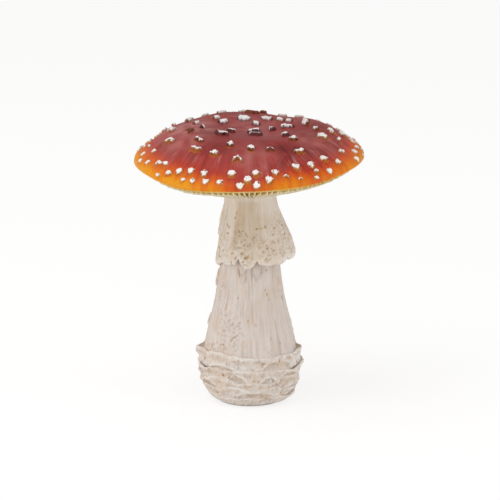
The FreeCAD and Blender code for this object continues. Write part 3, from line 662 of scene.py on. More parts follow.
def flap(corners, seed, carrier, thickness, roundness, root_above, body_tone):
    """A torn flap that hangs in the space of one carried-over solid: its points, quads, tone and wash, with
    painted shade on its inner face.
    """
    middle, half_width = spread_of(corners)
    top_level, tip = corners[:, 2].max(), corners[:, 2].min()
    at_tip = corners[corners[:, 2] < tip + 0.2 * (top_level - tip)]
    across, share = np.meshgrid(np.linspace(-1, 1, FLAP_COLUMNS), np.linspace(0, 1, FLAP_ROWS))
    turn = middle + across * half_width
    strip = np.stack([turn * 25 * MM, np.full_like(turn, seed * 5.3 * MM), 0 * turn], -1)
    ragged = 0.10 * noise(strip, 2.6 * MM, seed) + 0.06 * noise(strip, 1.1 * MM, seed + 1)
    reach = np.clip((1 - np.abs(across) ** roundness) * (1 + ragged), 0.02, 1.0)
    height = top_level + root_above - (top_level + root_above - tip) * reach * share
    carried = carrier(np.array([middle]), np.array([tip]))[0]
    lean = max(np.hypot(at_tip[:, 0], at_tip[:, 1]).max() - carried - thickness, 0)
    under = carrier(turn, height)
    grown = ease(share + 0.30 * noise(strip, 5.0 * MM, 38), 0.1, 0.7)
    body = (thickness * grown * np.sqrt(np.clip(1 - share ** 7, 0, 1))
            * np.sqrt(np.clip(1 - np.abs(across) ** 7, 0, 1)))
    lift = lean * (share * reach) ** 2.2 * (1 - np.abs(across) ** 4)
    fibre = 1 - 2 * np.abs(noise(girth_points(turn, height, 0.12), 1.2 * MM, 36))
    lumps = noise(girth_points(turn, height, 0.8), 1.7 * MM, 37)
    outer = under - 0.25 * MM + body + lift + MM * grown * (0.08 * fibre + 0.22 * lumps * reach)
    inner = under - 0.8 * MM
    skins = [placed(radius, turn, height).reshape(-1, 3) for radius in (outer, inner)]
    count = FLAP_ROWS * FLAP_COLUMNS
    front = grid_quads(FLAP_ROWS, FLAP_COLUMNS, closed=False)
    border = ([(0, c) for c in range(FLAP_COLUMNS)]
              + [(r, FLAP_COLUMNS - 1) for r in range(1, FLAP_ROWS)]
              + [(FLAP_ROWS - 1, c) for c in range(FLAP_COLUMNS - 2, -1, -1)]
              + [(r, 0) for r in range(FLAP_ROWS - 2, 0, -1)])
    loop = np.array([r * FLAP_COLUMNS + c for r, c in border])
    after = np.roll(loop, -1)
    wall = np.stack([after, loop, loop + count, after + count], axis=-1)
    quads = np.vstack([front, front[:, ::-1] + count, wall])[:, ::-1]
    pale = body_tone + 0.5 * np.clip(0.4 * (fibre - 0.5) + 0.3 * lumps + 0.7 * ease(share, 0.8, 1), -1, 1)
    # The inner face is darker and browner towards the points, as painted shade under the flap
    tone = np.concatenate([pale.ravel(), np.full(count, 0.4)])
    wash = np.concatenate([0.15 * ease(-lumps, 0.2, 0.7).ravel(), 0.5 * ease(share, 0.3, 0.9).ravel()])
    return np.vstack(skins), quads, tone, wash


def flaps(name, node, seed, material, slot, carrier, thickness, roundness, root_above, body_tone):
    """Makes all the flaps of one carried-over node as one piece."""
    parts, base = [], 0
    for number, (corners, _) in enumerate(islands(node)):
        skin, quads, pale, wash = flap(corners, seed + 5 * number, carrier, thickness, roundness,
                                       root_above, body_tone)
        parts.append((skin, quads + base, pale, wash))
        base += len(skin)
    points, faces, tones, ochres = (np.concatenate(column) for column in zip(*parts))
    make_piece(name, points, faces, material, slot, [node], tone=tones, ochre=ochres)


def stem_surface(angle, height):
    """The radius of the carved stem at each azimuth and height."""
    return stem_radius(height) - CARVED_IN + stem_relief(angle, height)[0]


flaps("hanging_shreds", "veil_shreds", 400, stem_paint, "stem_ceramic", stem_surface, 1.5 * MM, 2.2,
      3.0 * MM, 0.52)


# Skirt
# A sheet of clay some 1.5 mm thick, wrapped round the neck and torn along its hem. Straight fibres run
# down from the neck, the lower half is pitted and lumpy, and the right side stands out furthest.
SKIRT_COLUMNS = 420
SKIRT_ROWS = 120
SKIRT_INNER_ROWS = 40
SKIRT_WALL = 1.5 * MM
SKIRT_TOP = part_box("skirt")[1].z
# Height and outer radius on the right and on the left in millimetres, and the hem's height by azimuth
RIGHT_SIDE = (
    (138.2, 17.2), (129.6, 19.0), (120, 23.1), (110, 27.1), (102, 29.5), (97.7, 29.1), (94.0, 27.2),
)
LEFT_SIDE = (
    (138.2, 16.7), (129.6, 17.1), (119, 19.4), (110, 20.4), (101.5, 21.5), (95, 22.7), (90.3, 21.6),
)
HEM = (
    (-180, 99), (-150, 96.5), (-120, 93), (-95, 90.8), (-82, 91), (-66, 94.6), (-55, 95.8), (-44, 95.0),
    (-34, 96.0), (-26, 96.8), (-19.5, 100.2), (-14, 96.4), (-6, 94.2), (2, 94.8), (6, 97.2), (10.5, 100.0),
    (15, 97.0), (24, 96.0), (36, 96.8), (48, 95.8), (55, 97.0), (59, 100.4), (63, 98.2), (70, 97.2),
    (82, 97.0), (92, 95.0), (104, 95.0), (120, 97.4), (138, 95.6), (160, 99.4), (180, 99),
)
# Spots where the wash stayed on the skirt, in the same units as those of the stem
SKIRT_SPECKS = (
    (-50, 121.5, 0.7, 2.0), (-46, 120, 0.5, 1.2), (-47, 116, 0.8, 0.9), (-30, 130, 0.5, 2.0),
    (-31, 127, 0.6, 1.2), (-20, 118.8, 0.6, 0.6), (-14, 118.9, 0.7, 0.6), (12, 120.6, 0.6, 0.6),
    (20, 120.9, 1.6, 0.3), (28, 121.6, 0.9, 1.2), (-32, 103.6, 0.7, 0.8), (-13, 104.8, 0.8, 1.2),
    (-6, 102.2, 1.3, 1.3), (-3, 103.4, 0.8, 0.8), (-10, 99.6, 1.0, 1.0), (-24, 101.4, 0.8, 1.0),
    (-32, 98.0, 0.8, 1.0), (-9, 97.4, 0.9, 0.7), (27, 108.2, 0.6, 0.9), (37, 106.8, 0.8, 0.7),
    (65, 114.5, 0.9, 0.6), (70, 111, 0.9, 0.8), (54, 103.5, 0.7, 0.6), (100, 112, 1.0, 0.9),
    (128, 104, 1.1, 0.9), (150, 116, 0.8, 1.4), (175, 108, 1.2, 0.9), (-150, 104, 1.1, 1.0),
    (-128, 117, 0.8, 1.3), (-104, 101, 1.0, 1.0), (-75, 104, 0.8, 0.9), (-62, 99, 0.8, 0.7),
)


def skirt_place(angle, share):
    """Height and outer radius of the skirt at an azimuth and a share of the way down to the hem."""
    strip = placed(25, angle, 0 * angle) * MM
    frayed = 0.5 * noise(strip, 2.8 * MM, 41) + 0.35 * noise(strip, 1.2 * MM, 42)
    hem = np.interp(np.degrees(turn_from(angle, 0)), *zip(*HEM)) * MM + MM * frayed
    height = SKIRT_TOP - share * (SKIRT_TOP - hem)
    side = 0.5 + 0.5 * np.cos(angle - math.radians(95))
    right, left = (np.interp(-height, *zip(*[(-z * MM, r * MM) for z, r in outline]))
                   for outline in (RIGHT_SIDE, LEFT_SIDE))
    return height, left + (right - left) * side


share = np.linspace(0, 1, SKIRT_ROWS)
angle, share = np.meshgrid(np.linspace(0, math.tau, SKIRT_COLUMNS, False), share)
height, radius = skirt_place(angle, share)
radius = np.apply_along_axis(smoothed, 0, radius, 15, mode="edge")

# Fibres at the neck give way to pits and lumps further down, and a crease runs down on the left
low = ease(share, 0.45, 0.8)
hang = ease(share, 0.15, 0.6)
flutes = noise(girth_points(angle, height, 0.10, 22 * MM), 6.5 * MM, 43)
crease = np.exp(-(turn_from(angle, math.radians(-29)) / math.radians(4.5)) ** 2)
wander = 0.03 * noise(girth_points(angle, height, 0.3), 8 * MM, 44)
fibre = 1 - 2 * np.abs(noise(girth_points(angle + wander, height, 0.05), 1.5 * MM, 45))
thread = 1 - 2 * np.abs(noise(girth_points(angle + wander, height, 0.08), 0.9 * MM, 46))
lumps = rough(girth_points(angle, height, 0.8), 3.8 * MM, 47)
worms = 1 - 2.6 * np.abs(0.7 * noise(girth_points(angle, height, 0.75), 1.5 * MM, 48)
                         + 0.5 * noise(girth_points(angle + 3 * height, height, 0.8), 1.0 * MM, 49))
pitted = ease(share + 0.22 * noise(girth_points(angle, height, 0.6), 9 * MM, 50), 0.38, 0.62)
spots = specks(angle, height, SKIRT_SPECKS)
roll = ease(share, 0.86, 0.97)
offset = MM * (0.5 * flutes * hang - 0.9 * crease * hang * (1 - 0.6 * low)
               + (0.13 * fibre + 0.09 * thread) * (1 - 0.7 * pitted)
               + 0.5 * lumps * low + 0.34 * worms * pitted + 0.15 * lumps + 0.6 * roll - 0.25 * spots)

# The hem thins out to a rounded edge. Behind it the inside runs up again, no deeper than into the stem.
outer = radius - 0.5 * MM + offset
edge = np.sqrt(np.clip(1 - ((share - 0.95) / 0.05).clip(0, 1) ** 2, 0, 1))
wall = SKIRT_WALL * (1 + 0.5 * low) * edge
inner = np.maximum(radius - 0.5 * MM + 0.5 * offset - SKIRT_WALL * (1 + 0.5 * low),
                   stem_radius(height) - 0.4 * MM)
outer = np.maximum(inner + wall, outer * edge + (inner + 0.4 * MM) * (1 - edge))
inner_rows = np.linspace(SKIRT_ROWS - 1, 0, SKIRT_INNER_ROWS).astype(int)
radius = np.vstack([outer, inner[inner_rows]])
rounded = np.vstack([height, height[inner_rows]])
turned = np.vstack([angle, angle[inner_rows]])
points = placed(radius, turned, rounded).reshape(-1, 3)
faces = tube_quads(SKIRT_ROWS + SKIRT_INNER_ROWS, SKIRT_COLUMNS)[:, ::-1]

# Paint: a brown painted shade under the neck in front, with random brown clouds, and more wash in the crease
# and in the pits
tone = 0.5 + 0.5 * np.clip((0.42 * fibre + 0.36 * thread) * (1 - pitted) + 0.58 * worms * pitted
                           + 0.3 * lumps * low + 0.8 * roll, -1, 1)
degrees = np.degrees(turn_from(angle, 0))
clouds = 0.5 * np.clip(noise(girth_points(angle, height, 0.2), 9 * MM, 51), 0, 1)
# Painted shade in front under the neck, mixed with random clouds
front_shade_and_clouds = ease(degrees, -33, -25) * (1 - ease(degrees, 16, 28)) + clouds
brown_shade_and_clouds = 0.26 * front_shade_and_clouds * ease(share, 0.02, 0.1) * (1 - ease(share, 0.6, 0.85))
ochre = np.clip(0.8 * spots + brown_shade_and_clouds + 0.30 * crease * ease(share, 0.3, 0.45) * (1 - ease(share, 0.72, 0.85))
                + 0.20 * ease(-worms, 0.2, 0.9) * pitted * (1 - roll), 0, 1)
skirt_paint = wiped_ceramic("wiped_buff_bisque", "C2AF98", "DBCEC0", "E9E0D7", "AA8442", "D8BF9C")
# The inside of the skirt gets half the tone, as painted shade under it
make_piece("torn_skirt", points, faces, skirt_paint, "skirt_ceramic", ["skirt"],
           tone=np.vstack([tone, tone[inner_rows] * 0.5]).ravel(),
           ochre=np.vstack([ochre, ochre[inner_rows]]).ravel())
skirt_levels, skirt_skin = height, outer


# Upper folds of the skirt
# Shorter flaps of the same torn clay that lie over the skirt on the left and behind. They follow its outer
# face and stand a little off it at their points.
def skirt_surface(angle, height):
    """The radius of the skirt's outer face at each azimuth and height."""
    columns = np.round(np.mod(angle, math.tau) / math.tau * SKIRT_COLUMNS).astype(int) % SKIRT_COLUMNS
    found = [np.interp(-z, -skirt_levels[:, column], skirt_skin[:, column])
             for column, z in zip(columns.ravel(), height.ravel())]
    return np.array(found).reshape(np.shape(height))


flaps("torn_upper_folds", "skirt_upper_fold", 500, skirt_paint, "skirt_ceramic", skirt_surface, 1.4 * MM, 3.4,
      2.0 * MM, 0.68)


# Cap bond
# The thin bead of cured epoxy between the stem's shoulder and the gill plate, wiped flush. It is a little
# cloudy, in two tones of amber.
bead, tree = new_material("cured_epoxy")
where = add_node(tree, "ShaderNodeTexCoord")
smear = add_node(tree, "ShaderNodeTexNoise", {"Vector": where.outputs["Object"], "Scale": 1 / (3 * MM)})
colour = add_node(tree, "ShaderNodeValToRGB", {0: smear.outputs[0]}, stops=((0.3, "B59E76"), (0.7, "CDB892")))
surface = add_node(tree, "ShaderNodeBsdfPrincipled", {"Base Color": colour.outputs[0], "Roughness": 0.4,
                                                      "IOR": 1.55})
add_node(tree, "ShaderNodeOutputMaterial", {"Surface": surface.outputs[0]})
dress("cap_bond", bead)


# Gill plate
# The pressed underside of the cap: a shallow cone with a blade standing on it for every gill. Half of the
# gills run from the stem to the margin, and the rest start part of the way out.
CAP_TILT = math.radians(1.5)
SEAT_HEIGHT = 140 * MM
RIM_ABOVE_SEAT = 22 * MM
CAP_RADIUS = 75 * MM
GILLS = 60
GILL_STATIONS = 15
# How far a short gill runs until it has its full depth, and how far up from its lower edge its root lies
GILL_RISE = 8 * MM
GILL_ROOT = 3.6 * MM
CONE_COLUMNS = 288
COLLAR_BORE = 10.2 * MM
COLLAR_RADIUS = 14.8 * MM
COLLAR_FOOT = -21.6 * MM
COLLAR_TOP = -12.5 * MM
REBATE_RADIUS = 72.2 * MM
# The lower edges of the gills: radius and height in the cap's own frame, in millimetres
BELLY = (
    (13.0, -20.8), (20.0, -20.5), (30.0, -17.6), (39.7, -14.9), (50.0, -11.6), (60.0, -8.3), (66.5, -6.2),
    (70.4, -4.5), (71.6, -2.6),
)
belly_radii, belly_levels = np.array(BELLY).T * MM
# The place of the cap's own frame, tilted about its seat on the stem
cap_place = (Matrix.Translation((0, 0, SEAT_HEIGHT)) @ Matrix.Rotation(-CAP_TILT, 4, "Y")
             @ Matrix.Translation((0, 0, RIM_ABOVE_SEAT)))
# How far the margin rises or dips, by azimuth, in millimetres
RIM_LIFT = (
    (-180, 0), (-110, 0.2), (-88, 1.2), (-70, 2.0), (-56, 1.0), (-42, -1.0), (-28, -1.2), (-12, 0.1),
    (10, 0.1), (30, 0), (48, 1.2), (68, 2.0), (85, 1.2), (110, 0), (180, 0),
)


def on_cap(points):
    """Points from the cap's own frame, where its widest circle is at height 0, to their tilted place."""
    matrix = np.array(cap_place)
    return points @ matrix[:3, :3].T + matrix[:3, 3]


def off_cap(points):
    """The way back, from the ornament's frame to the cap's own."""
    matrix = np.array(cap_place.inverted())
    return points @ matrix[:3, :3].T + matrix[:3, 3]


def rim_lift(angle, radius):
    """The wave of the margin at a place on the cap or on the gills."""
    degrees = np.degrees(turn_from(angle, 0))
    lift = sum(np.interp(degrees + shift, *zip(*RIM_LIFT)) for shift in (-8, -4, 0, 4, 8)) / 5
    return lift * MM * ease(radius, 0.62 * CAP_RADIUS, 0.98 * CAP_RADIUS)


def gill_blade(name, start):
    """One gill from the radius where it starts to the margin, with a soft edge and a slight wave."""
    stations = np.linspace(start, belly_radii[-1], GILL_STATIONS)
    belly = np.interp(stations, belly_radii, belly_levels)
    rise = np.clip((stations - start) / GILL_RISE, 0, 1) if start > COLLAR_RADIUS else np.ones_like(stations)
    rise = rise * np.clip((belly_radii[-1] + 0.6 * MM - stations) / (2.4 * MM), 0, 1)
    root = belly + GILL_ROOT
    belly = root + (belly - root) * rise
    wave = 0.25 * MM * np.sin(stations / (9 * MM) + start * 900)
    thick = np.interp(stations, (start, belly_radii[-1]), (0.38 * MM, 0.55 * MM))
    # The blade in section: how high each corner lies, as a share of the depth, and how far to the side
    section = ((1.0, 1.0), (0.25, 0.75), (0.0, 0.0), (0.25, -0.75), (1.0, -1.0))
    points = [[(x, t * side + w, low + (high - low) * lift) for lift, side in section]
              for x, low, high, t, w in zip(stations, belly, root, thick, wave)]
    mesh = bpy.data.meshes.new(name)
    quads = grid_quads(len(stations), len(section)).tolist()
    last = (len(stations) - 1) * len(section)
    caps = [list(range(len(section)))[::-1], [last + i for i in range(len(section))]]
    mesh.from_pydata(np.array(points).reshape(-1, 3).tolist(), [], quads + caps)
    mesh.shade_smooth()
    return bpy.data.objects.new(name, mesh)


def gill_fan():
    """A node tree that sets copies of one gill evenly round the stem, each turned and scaled a little."""
    tree = bpy.data.node_groups.new("gill_fan", "GeometryNodeTree")
    face = tree.interface
    face.new_socket("Gill", in_out="INPUT", socket_type="NodeSocketGeometry")
    for name, kind in (("Count", "NodeSocketInt"), ("Phase", "NodeSocketFloat"), ("Sway", "NodeSocketFloat"),
                       ("Seed", "NodeSocketInt"), ("Finish", "NodeSocketMaterial")):
        face.new_socket(name, in_out="INPUT", socket_type=kind)
    face.new_socket("Gills", in_out="OUTPUT", socket_type="NodeSocketGeometry")
    given = add_node(tree, "NodeGroupInput")
    spots = add_node(tree, "GeometryNodePoints", {"Count": given.outputs["Count"]})
    index = add_node(tree, "GeometryNodeInputIndex")
    step = add_node(tree, "ShaderNodeMath", {0: index.outputs[0], 1: given.outputs["Phase"]}, operation="ADD")
    whole = add_node(tree, "ShaderNodeMath", {0: math.tau, 1: given.outputs["Count"]}, operation="DIVIDE")
    sway = add_node(tree, "ShaderNodeMath", {0: given.outputs["Sway"], 1: -1.0}, operation="MULTIPLY")
    stray = add_node(tree, "FunctionNodeRandomValue", {2: sway.outputs[0], 3: given.outputs["Sway"],
                                                       "Seed": given.outputs["Seed"]}, data_type="FLOAT")
    turn = add_node(tree, "ShaderNodeMath", {0: step.outputs[0], 1: stray.outputs[1]}, operation="ADD")
    angle = add_node(tree, "ShaderNodeMath", {0: turn.outputs[0], 1: whole.outputs[0]}, operation="MULTIPLY")
    rotation = add_node(tree, "ShaderNodeCombineXYZ", {"Z": angle.outputs[0]})
    depth = add_node(tree, "FunctionNodeRandomValue", {2: 0.97, 3: 1.03, "Seed": given.outputs["Seed"]},
                     data_type="FLOAT")
    size = add_node(tree, "ShaderNodeCombineXYZ", {"X": 1.0, "Y": 1.0, "Z": depth.outputs[1]})
    copies = add_node(tree, "GeometryNodeInstanceOnPoints", {
        "Points": spots.outputs[0], "Instance": given.outputs["Gill"], "Rotation": rotation.outputs[0],
        "Scale": size.outputs[0]})
    real = add_node(tree, "GeometryNodeRealizeInstances", {0: copies.outputs[0]})
    painted = add_node(tree, "GeometryNodeSetMaterial", {0: real.outputs[0],
                                                         "Material": given.outputs["Finish"]})
    add_node(tree, "NodeGroupOutput", {"Gills": painted.outputs[0]})
    return tree


def run_tree(source, tree, name, **inputs):
    """Runs a node tree on an object and returns the result as a plain mesh. The modifier goes with it."""
    modifier = source.modifiers.new(tree.name, "NODES")
    modifier.node_group = tree
    for item in tree.interface.items_tree:
        if item.in_out == "INPUT" and item.name in inputs:
            modifier[item.identifier] = inputs[item.name]
    bpy.context.scene.collection.objects.link(source)
    bpy.context.view_layer.update()
    mesh = bpy.data.meshes.new_from_object(source.evaluated_get(bpy.context.evaluated_depsgraph_get()))
    bpy.data.objects.remove(source)
    mesh.name = name
    return mesh


# Cold paint over bisque: cream on the gills' edges, ochre run down into the grooves
gill_paint, tree = new_material("cream_and_ochre_bisque")
where = add_node(tree, "ShaderNodeTexCoord")
deep = add_node(tree, "ShaderNodeAttribute", attribute_name="tone")
drift = add_node(tree, "ShaderNodeTexNoise", {"Vector": where.outputs["Object"], "Scale": 1 / (7 * MM),
                                              "Detail": 3.0})
level = add_node(tree, "ShaderNodeMath", {0: drift.outputs[0], 1: 0.5, 2: -0.25}, operation="MULTIPLY_ADD")
both = add_node(tree, "ShaderNodeMath", {0: deep.outputs["Fac"], 1: level.outputs[0]}, operation="ADD")
colour = add_node(tree, "ShaderNodeValToRGB", {0: both.outputs[0]},
                  stops=((0.0, "B8892A"), (0.42, "D6B55A"), (0.85, "F0E4C2")))
tooth = add_node(tree, "ShaderNodeTexNoise", {"Vector": where.outputs["Object"], "Scale": 1 / (0.5 * MM)})
bump = add_node(tree, "ShaderNodeBump", {"Height": tooth.outputs[0], "Strength": 0.3, "Distance": 0.1 * MM})
surface = add_node(tree, "ShaderNodeBsdfPrincipled", {"Base Color": colour.outputs[0], "Roughness": 0.6,
                                                      "Normal": bump.outputs[0]})
add_node(tree, "ShaderNodeOutputMaterial", {"Surface": surface.outputs[0]})


def gill_tone(radius, height):
    """The tone of a gill: 1 at its lower edge, and less towards its root in the cone."""
    return 1 - (height - np.interp(radius, belly_radii, belly_levels)) / (3.2 * MM)


def paint_and_tilt(mesh):
    """Gives each point of a mesh in the cap's frame its tone, then moves the mesh to its tilted place."""
    places = np.array([v.co[:] for v in mesh.vertices])
    radius = np.hypot(places[:, 0], places[:, 1])
    angle = np.arctan2(places[:, 0], -places[:, 1])
    azimuth = np.degrees(angle)
    yellowed = 0.16 * ease(azimuth, 24, 48) * (1 - ease(azimuth, 100, 140))
    tone = np.clip(gill_tone(radius, places[:, 2]), 0, 1) - yellowed
    mesh.attributes.new("tone", "FLOAT", "POINT").data.foreach_set("value", tone)
    places[:, 2] += rim_lift(angle, radius)
    mesh.vertices.foreach_set("co", on_cap(places).ravel())
    mesh.update()


fan = gill_fan()
for name, start, phase, seed in (("long_gills", 13 * MM, 0.0, 5), ("short_gills", 36 * MM, 0.5, 6)):
    mesh = run_tree(gill_blade(name, start), fan, name, Count=GILLS, Phase=phase, Sway=0.12, Seed=seed,
                    Finish=gill_paint)
    paint_and_tilt(mesh)
    finish_piece(name, mesh, ["gill_plate"])

# The cone in section, from the foot of the socket collar out to the rebate in the cap and back on top
profile = [(COLLAR_BORE, COLLAR_FOOT), (COLLAR_RADIUS, COLLAR_FOOT)]
profile += [(r, z + np.interp(r, (30 * MM, 60 * MM, 71 * MM), (3.1 * MM, 2.4 * MM, 1.7 * MM)))
            for r, z in zip(belly_radii[1:-1], belly_levels[1:-1])]
profile += [(REBATE_RADIUS, -0.6 * MM), (REBATE_RADIUS, 1.0 * MM), (60 * MM, -1.0 * MM),
            (COLLAR_RADIUS, COLLAR_TOP), (COLLAR_BORE, COLLAR_TOP), (COLLAR_BORE, COLLAR_FOOT)]
turns = np.linspace(0, math.tau, CONE_COLUMNS, False)
points = [[(r * math.sin(turn), -r * math.cos(turn), z) for turn in turns] for r, z in profile]
cone = bpy.data.meshes.new("gill_cone")
cone.from_pydata(np.array(points).reshape(-1, 3).tolist(), [],
                 grid_quads(len(profile), CONE_COLUMNS).tolist())
whole = bmesh.new()
whole.from_mesh(cone)
bmesh.ops.remove_doubles(whole, verts=whole.verts, dist=0.001 * MM)
bmesh.ops.recalc_face_normals(whole, faces=whole.faces)
whole.to_mesh(cone)
whole.free()
cone.materials.append(gill_paint)
paint_and_tilt(cone)
finish_piece("gill_cone", cone, ["gill_plate"])


# Cap
# A slip-cast dome with a rolled margin. It was painted deep red over the crown and brushed out through
# orange to yellow ochre at the margin, in fine strokes that run down the slope, then given a satin varnish.
CAP_COLUMNS = 640
CAP_ROWS = 130
MARGIN_ROWS = 10
LIP = 1.3 * MM
LEDGE_RADIUS = 67.4 * MM
# The radius at which the strokes of the brush and the furrows are spaced
STROKE_GIRTH = 60 * MM
# The share of the cap's radius that is given to all that lies beyond the margin
BEYOND = 1.02
# How far the dome stands above or below an even one, from left to right, in millimetres
DOME_SWELL = (
    (-75, 0), (-60, 0.9), (-52, 1.5), (-45, 1.2), (-30, 0.9), (-16, 1.2), (0, 0.4), (13, -1.0), (22, -1.7),
    (30, -1.3), (42, 0.4), (54, 1.2), (66, 0.8), (75, 0),
)
# How far down the slope the red runs, by azimuth: above 0 it stops short, and below 0 it runs further
RED_REACH = (
    (-180, 0.0), (-100, 0.005), (-80, 0.025), (-60, 0.008), (-45, 0.008), (-30, -0.006), (-20, -0.012),
    (-12, -0.06), (-4, -0.105), (3, -0.105), (9, -0.05), (15, -0.012), (24, -0.02), (32, -0.055),
    (41, -0.055), (48, -0.03), (62, -0.02), (80, 0.0), (110, 0.0), (180, 0.0),
)


def cap_outline():
    """The radii and heights of the carried-over dome's outline, smoothed, in the cap's frame."""
    skin = solid_skin("cap_shell", off_cap)
    below = 20 * MM
    centre = Vector((0, 0, -below))
    slants = np.linspace(0, math.atan2(CAP_RADIUS, below), 500)
    # A little aside, so that no ray runs along a seam between two triangles
    aside = 0.013
    reach = []
    for slant in slants:
        out = Vector((math.sin(slant) * math.cos(aside), math.sin(slant) * math.sin(aside), math.cos(slant)))
        hit = skin.ray_cast(centre + out, -out)[0]
        reach.append((hit - centre).length)
    reach = smoothed(reach, 25, mode="reflect", reflect_type="odd")
    return reach * np.sin(slants), reach * np.cos(slants) - below


OUTLINE_RADII, OUTLINE_HEIGHTS = cap_outline()


def cap_relief(angle, radius):
    """How deep the dents, strokes and furrows lie, and how high the crown stands between its dents."""
    place = placed(radius, angle, 0 * radius)
    share = radius / CAP_RADIUS
    dents = rough(place, 20 * MM, 61, 2)
    wrinkles = 1 - 2 * np.abs(noise(place, 9 * MM, 62))
    out = ease(share, 0.35, 0.85)
    spokes = girth_points(angle, radius, 0.10, STROKE_GIRTH)
    strokes = noise(spokes, 1.3 * MM, 63) + 0.6 * noise(spokes, 0.7 * MM, 64)
    folds = np.abs(noise(spokes, 4.2 * MM, 65))
    fine = noise(girth_points(angle, radius, 0.05, CAP_RADIUS), 1.2 * MM, 66)
    depth = MM * (0.60 * (1 - dents) * (1 - ease(share, 0.8, 1.0))
                  + 0.14 * (1 - wrinkles) * (1 - ease(share, 0.45, 0.75))
                  + 0.10 * out * (1 - strokes) + 0.30 * out * (1 - folds) * (1 - ease(share, 0.85, 1))
                  + 0.15 * ease(share, 0.8, 0.97) * (1 - fine))
    return depth, dents - 0.4 * wrinkles


def cap_distance(places, azimuth, share):
    """How far places on the cap lie, seen from above, from a spot at an azimuth and a share of its radius."""
    spot = placed(CAP_RADIUS * share, math.radians(azimuth), 0)
    return np.hypot(places[..., 0] - spot[0], places[..., 1] - spot[1])


# The dome's outline turned round, swollen a little, waved at the margin and sunk in by the relief
along = np.concatenate([[0], np.cumsum(np.hypot(np.diff(OUTLINE_RADII), np.diff(OUTLINE_HEIGHTS)))])
stations = np.linspace(0.01, 1, CAP_ROWS) * along[-1]
radii = np.interp(stations, along, OUTLINE_RADII)
levels = np.interp(stations, along, OUTLINE_HEIGHTS)
angle, radius = np.meshgrid(np.linspace(0, math.tau, CAP_COLUMNS, False), radii)
height = np.repeat(levels[:, None], CAP_COLUMNS, axis=1)
depth, dents = cap_relief(angle, radius)
outward = -np.gradient(levels, stations)[:, None]
upward = np.gradient(radii, stations)[:, None]
still = 1 - 0.75 * ease(radius, 0.97 * CAP_RADIUS, CAP_RADIUS)
swollen = np.interp(radius * np.sin(angle) / MM, *zip(*DOME_SWELL)) * MM
height = height + swollen * (1 - ease(radius, 0.72 * CAP_RADIUS, 0.97 * CAP_RADIUS)) + rim_lift(angle, radius)
radius = radius - outward * depth * still
height = height - upward * depth * still
skin_points = placed(radius, angle, height).reshape(-1, 3)
cap_skin = BVHTree.FromPolygons(skin_points.tolist(), grid_quads(CAP_ROWS, CAP_COLUMNS).tolist())

# The margin rolled under, and the inside from the ledge of the gill plate up to the top. The fans at the
# two poles are turned over as the quads are.
roll = np.linspace(0, math.pi, MARGIN_ROWS)[1:]
margin_radius = radius[-1][None] - LIP * (1 - np.cos(roll))[:, None]
margin_height = height[-1][None] - (LIP * np.sin(roll))[:, None]
inside = ((LEDGE_RADIUS, 1.2 * MM), (57 * MM, 9.5 * MM), (44 * MM, 14.5 * MM), (33 * MM, 15.5 * MM),
          (6 * MM, 14 * MM))
inner_radius = np.array([[r] * CAP_COLUMNS for r, _ in inside])
inner_height = np.array([[z] * CAP_COLUMNS for _, z in inside])
inner_height[0] += rim_lift(angle[0], inner_radius[0])
radius = np.vstack([radius, margin_radius, inner_radius])
height = np.vstack([height, margin_height, inner_height])
rows = len(radius)
turned = np.repeat(angle[:1], rows, axis=0)
grid = placed(radius, turned, height)
points, faces = close_ends(grid.reshape(-1, 3), grid_quads(rows, CAP_COLUMNS)[:, ::-1], rows, CAP_COLUMNS)
faces = faces[:-2 * CAP_COLUMNS] + [face[::-1] for face in faces[-2 * CAP_COLUMNS:]]

# Where the red shows pinker, partly rubbed thin and partly a painted sheen of the lamps on the crown:
# azimuth, share of the cap's radius, width and strength
SHEEN_AND_RUBBED = (
    (4, 0.72, 14 * MM, 0.5), (-62, 0.62, 15 * MM, 0.6), (-95, 0.52, 20 * MM, 0.9),
    (-85, 0.76, 10 * MM, 0.4), (60, 0.66, 14 * MM, 0.5), (140, 0.6, 14 * MM, 0.4),
    (-150, 0.7, 12 * MM, 0.4), (-95, 0.30, 13 * MM, 0.45), (165, 0.16, 20 * MM, 0.4),
    (50, 0.26, 12 * MM, 0.3),
)
rubbed = np.zeros(len(points))
for azimuth, place, width, strength in SHEEN_AND_RUBBED:
    away = cap_distance(points, azimuth, place)
    rubbed = np.maximum(rubbed, strength * np.exp(-(away / width) ** 2))
rubbed *= 0.65 + 0.5 * noise(points * (1, 1, 0.5), 5 * MM, 76)

# How ripe the paint is, with strokes that run down the slope: 0 at the red crown, 1 at the yellow margin
share = np.append(radii / CAP_RADIUS, np.full(rows - CAP_ROWS, BEYOND))
share = np.repeat(share[:, None], CAP_COLUMNS, axis=1)
bearing = np.degrees(turn_from(turned, 0))
spokes = girth_points(turned, radius, 0.06, STROKE_GIRTH)
streaks = 0.6 * noise(spokes, 2.4 * MM, 71) + 0.5 * noise(spokes, 1.0 * MM, 72)
ripe = (share + np.interp(bearing, *zip(*RED_REACH)) + 0.012 * noise(spokes, 12 * MM, 73)
        + 0.034 * streaks * ease(share, 0.6, 0.82))
brushed = (0.7 * ease(noise(spokes, 1.1 * MM, 77), 0.0, 0.6)
           + 0.5 * ease(noise(spokes, 3.4 * MM, 87), 0.1, 0.6)
           - 0.5 * ease(noise(spokes, 0.8 * MM, 88), 0.2, 0.7)) * ease(share, 0.55, 0.8)
hollow = np.vstack([ease(-dents, -0.1, 0.5), np.zeros((rows - CAP_ROWS, CAP_COLUMNS))]) + 1.4 * brushed

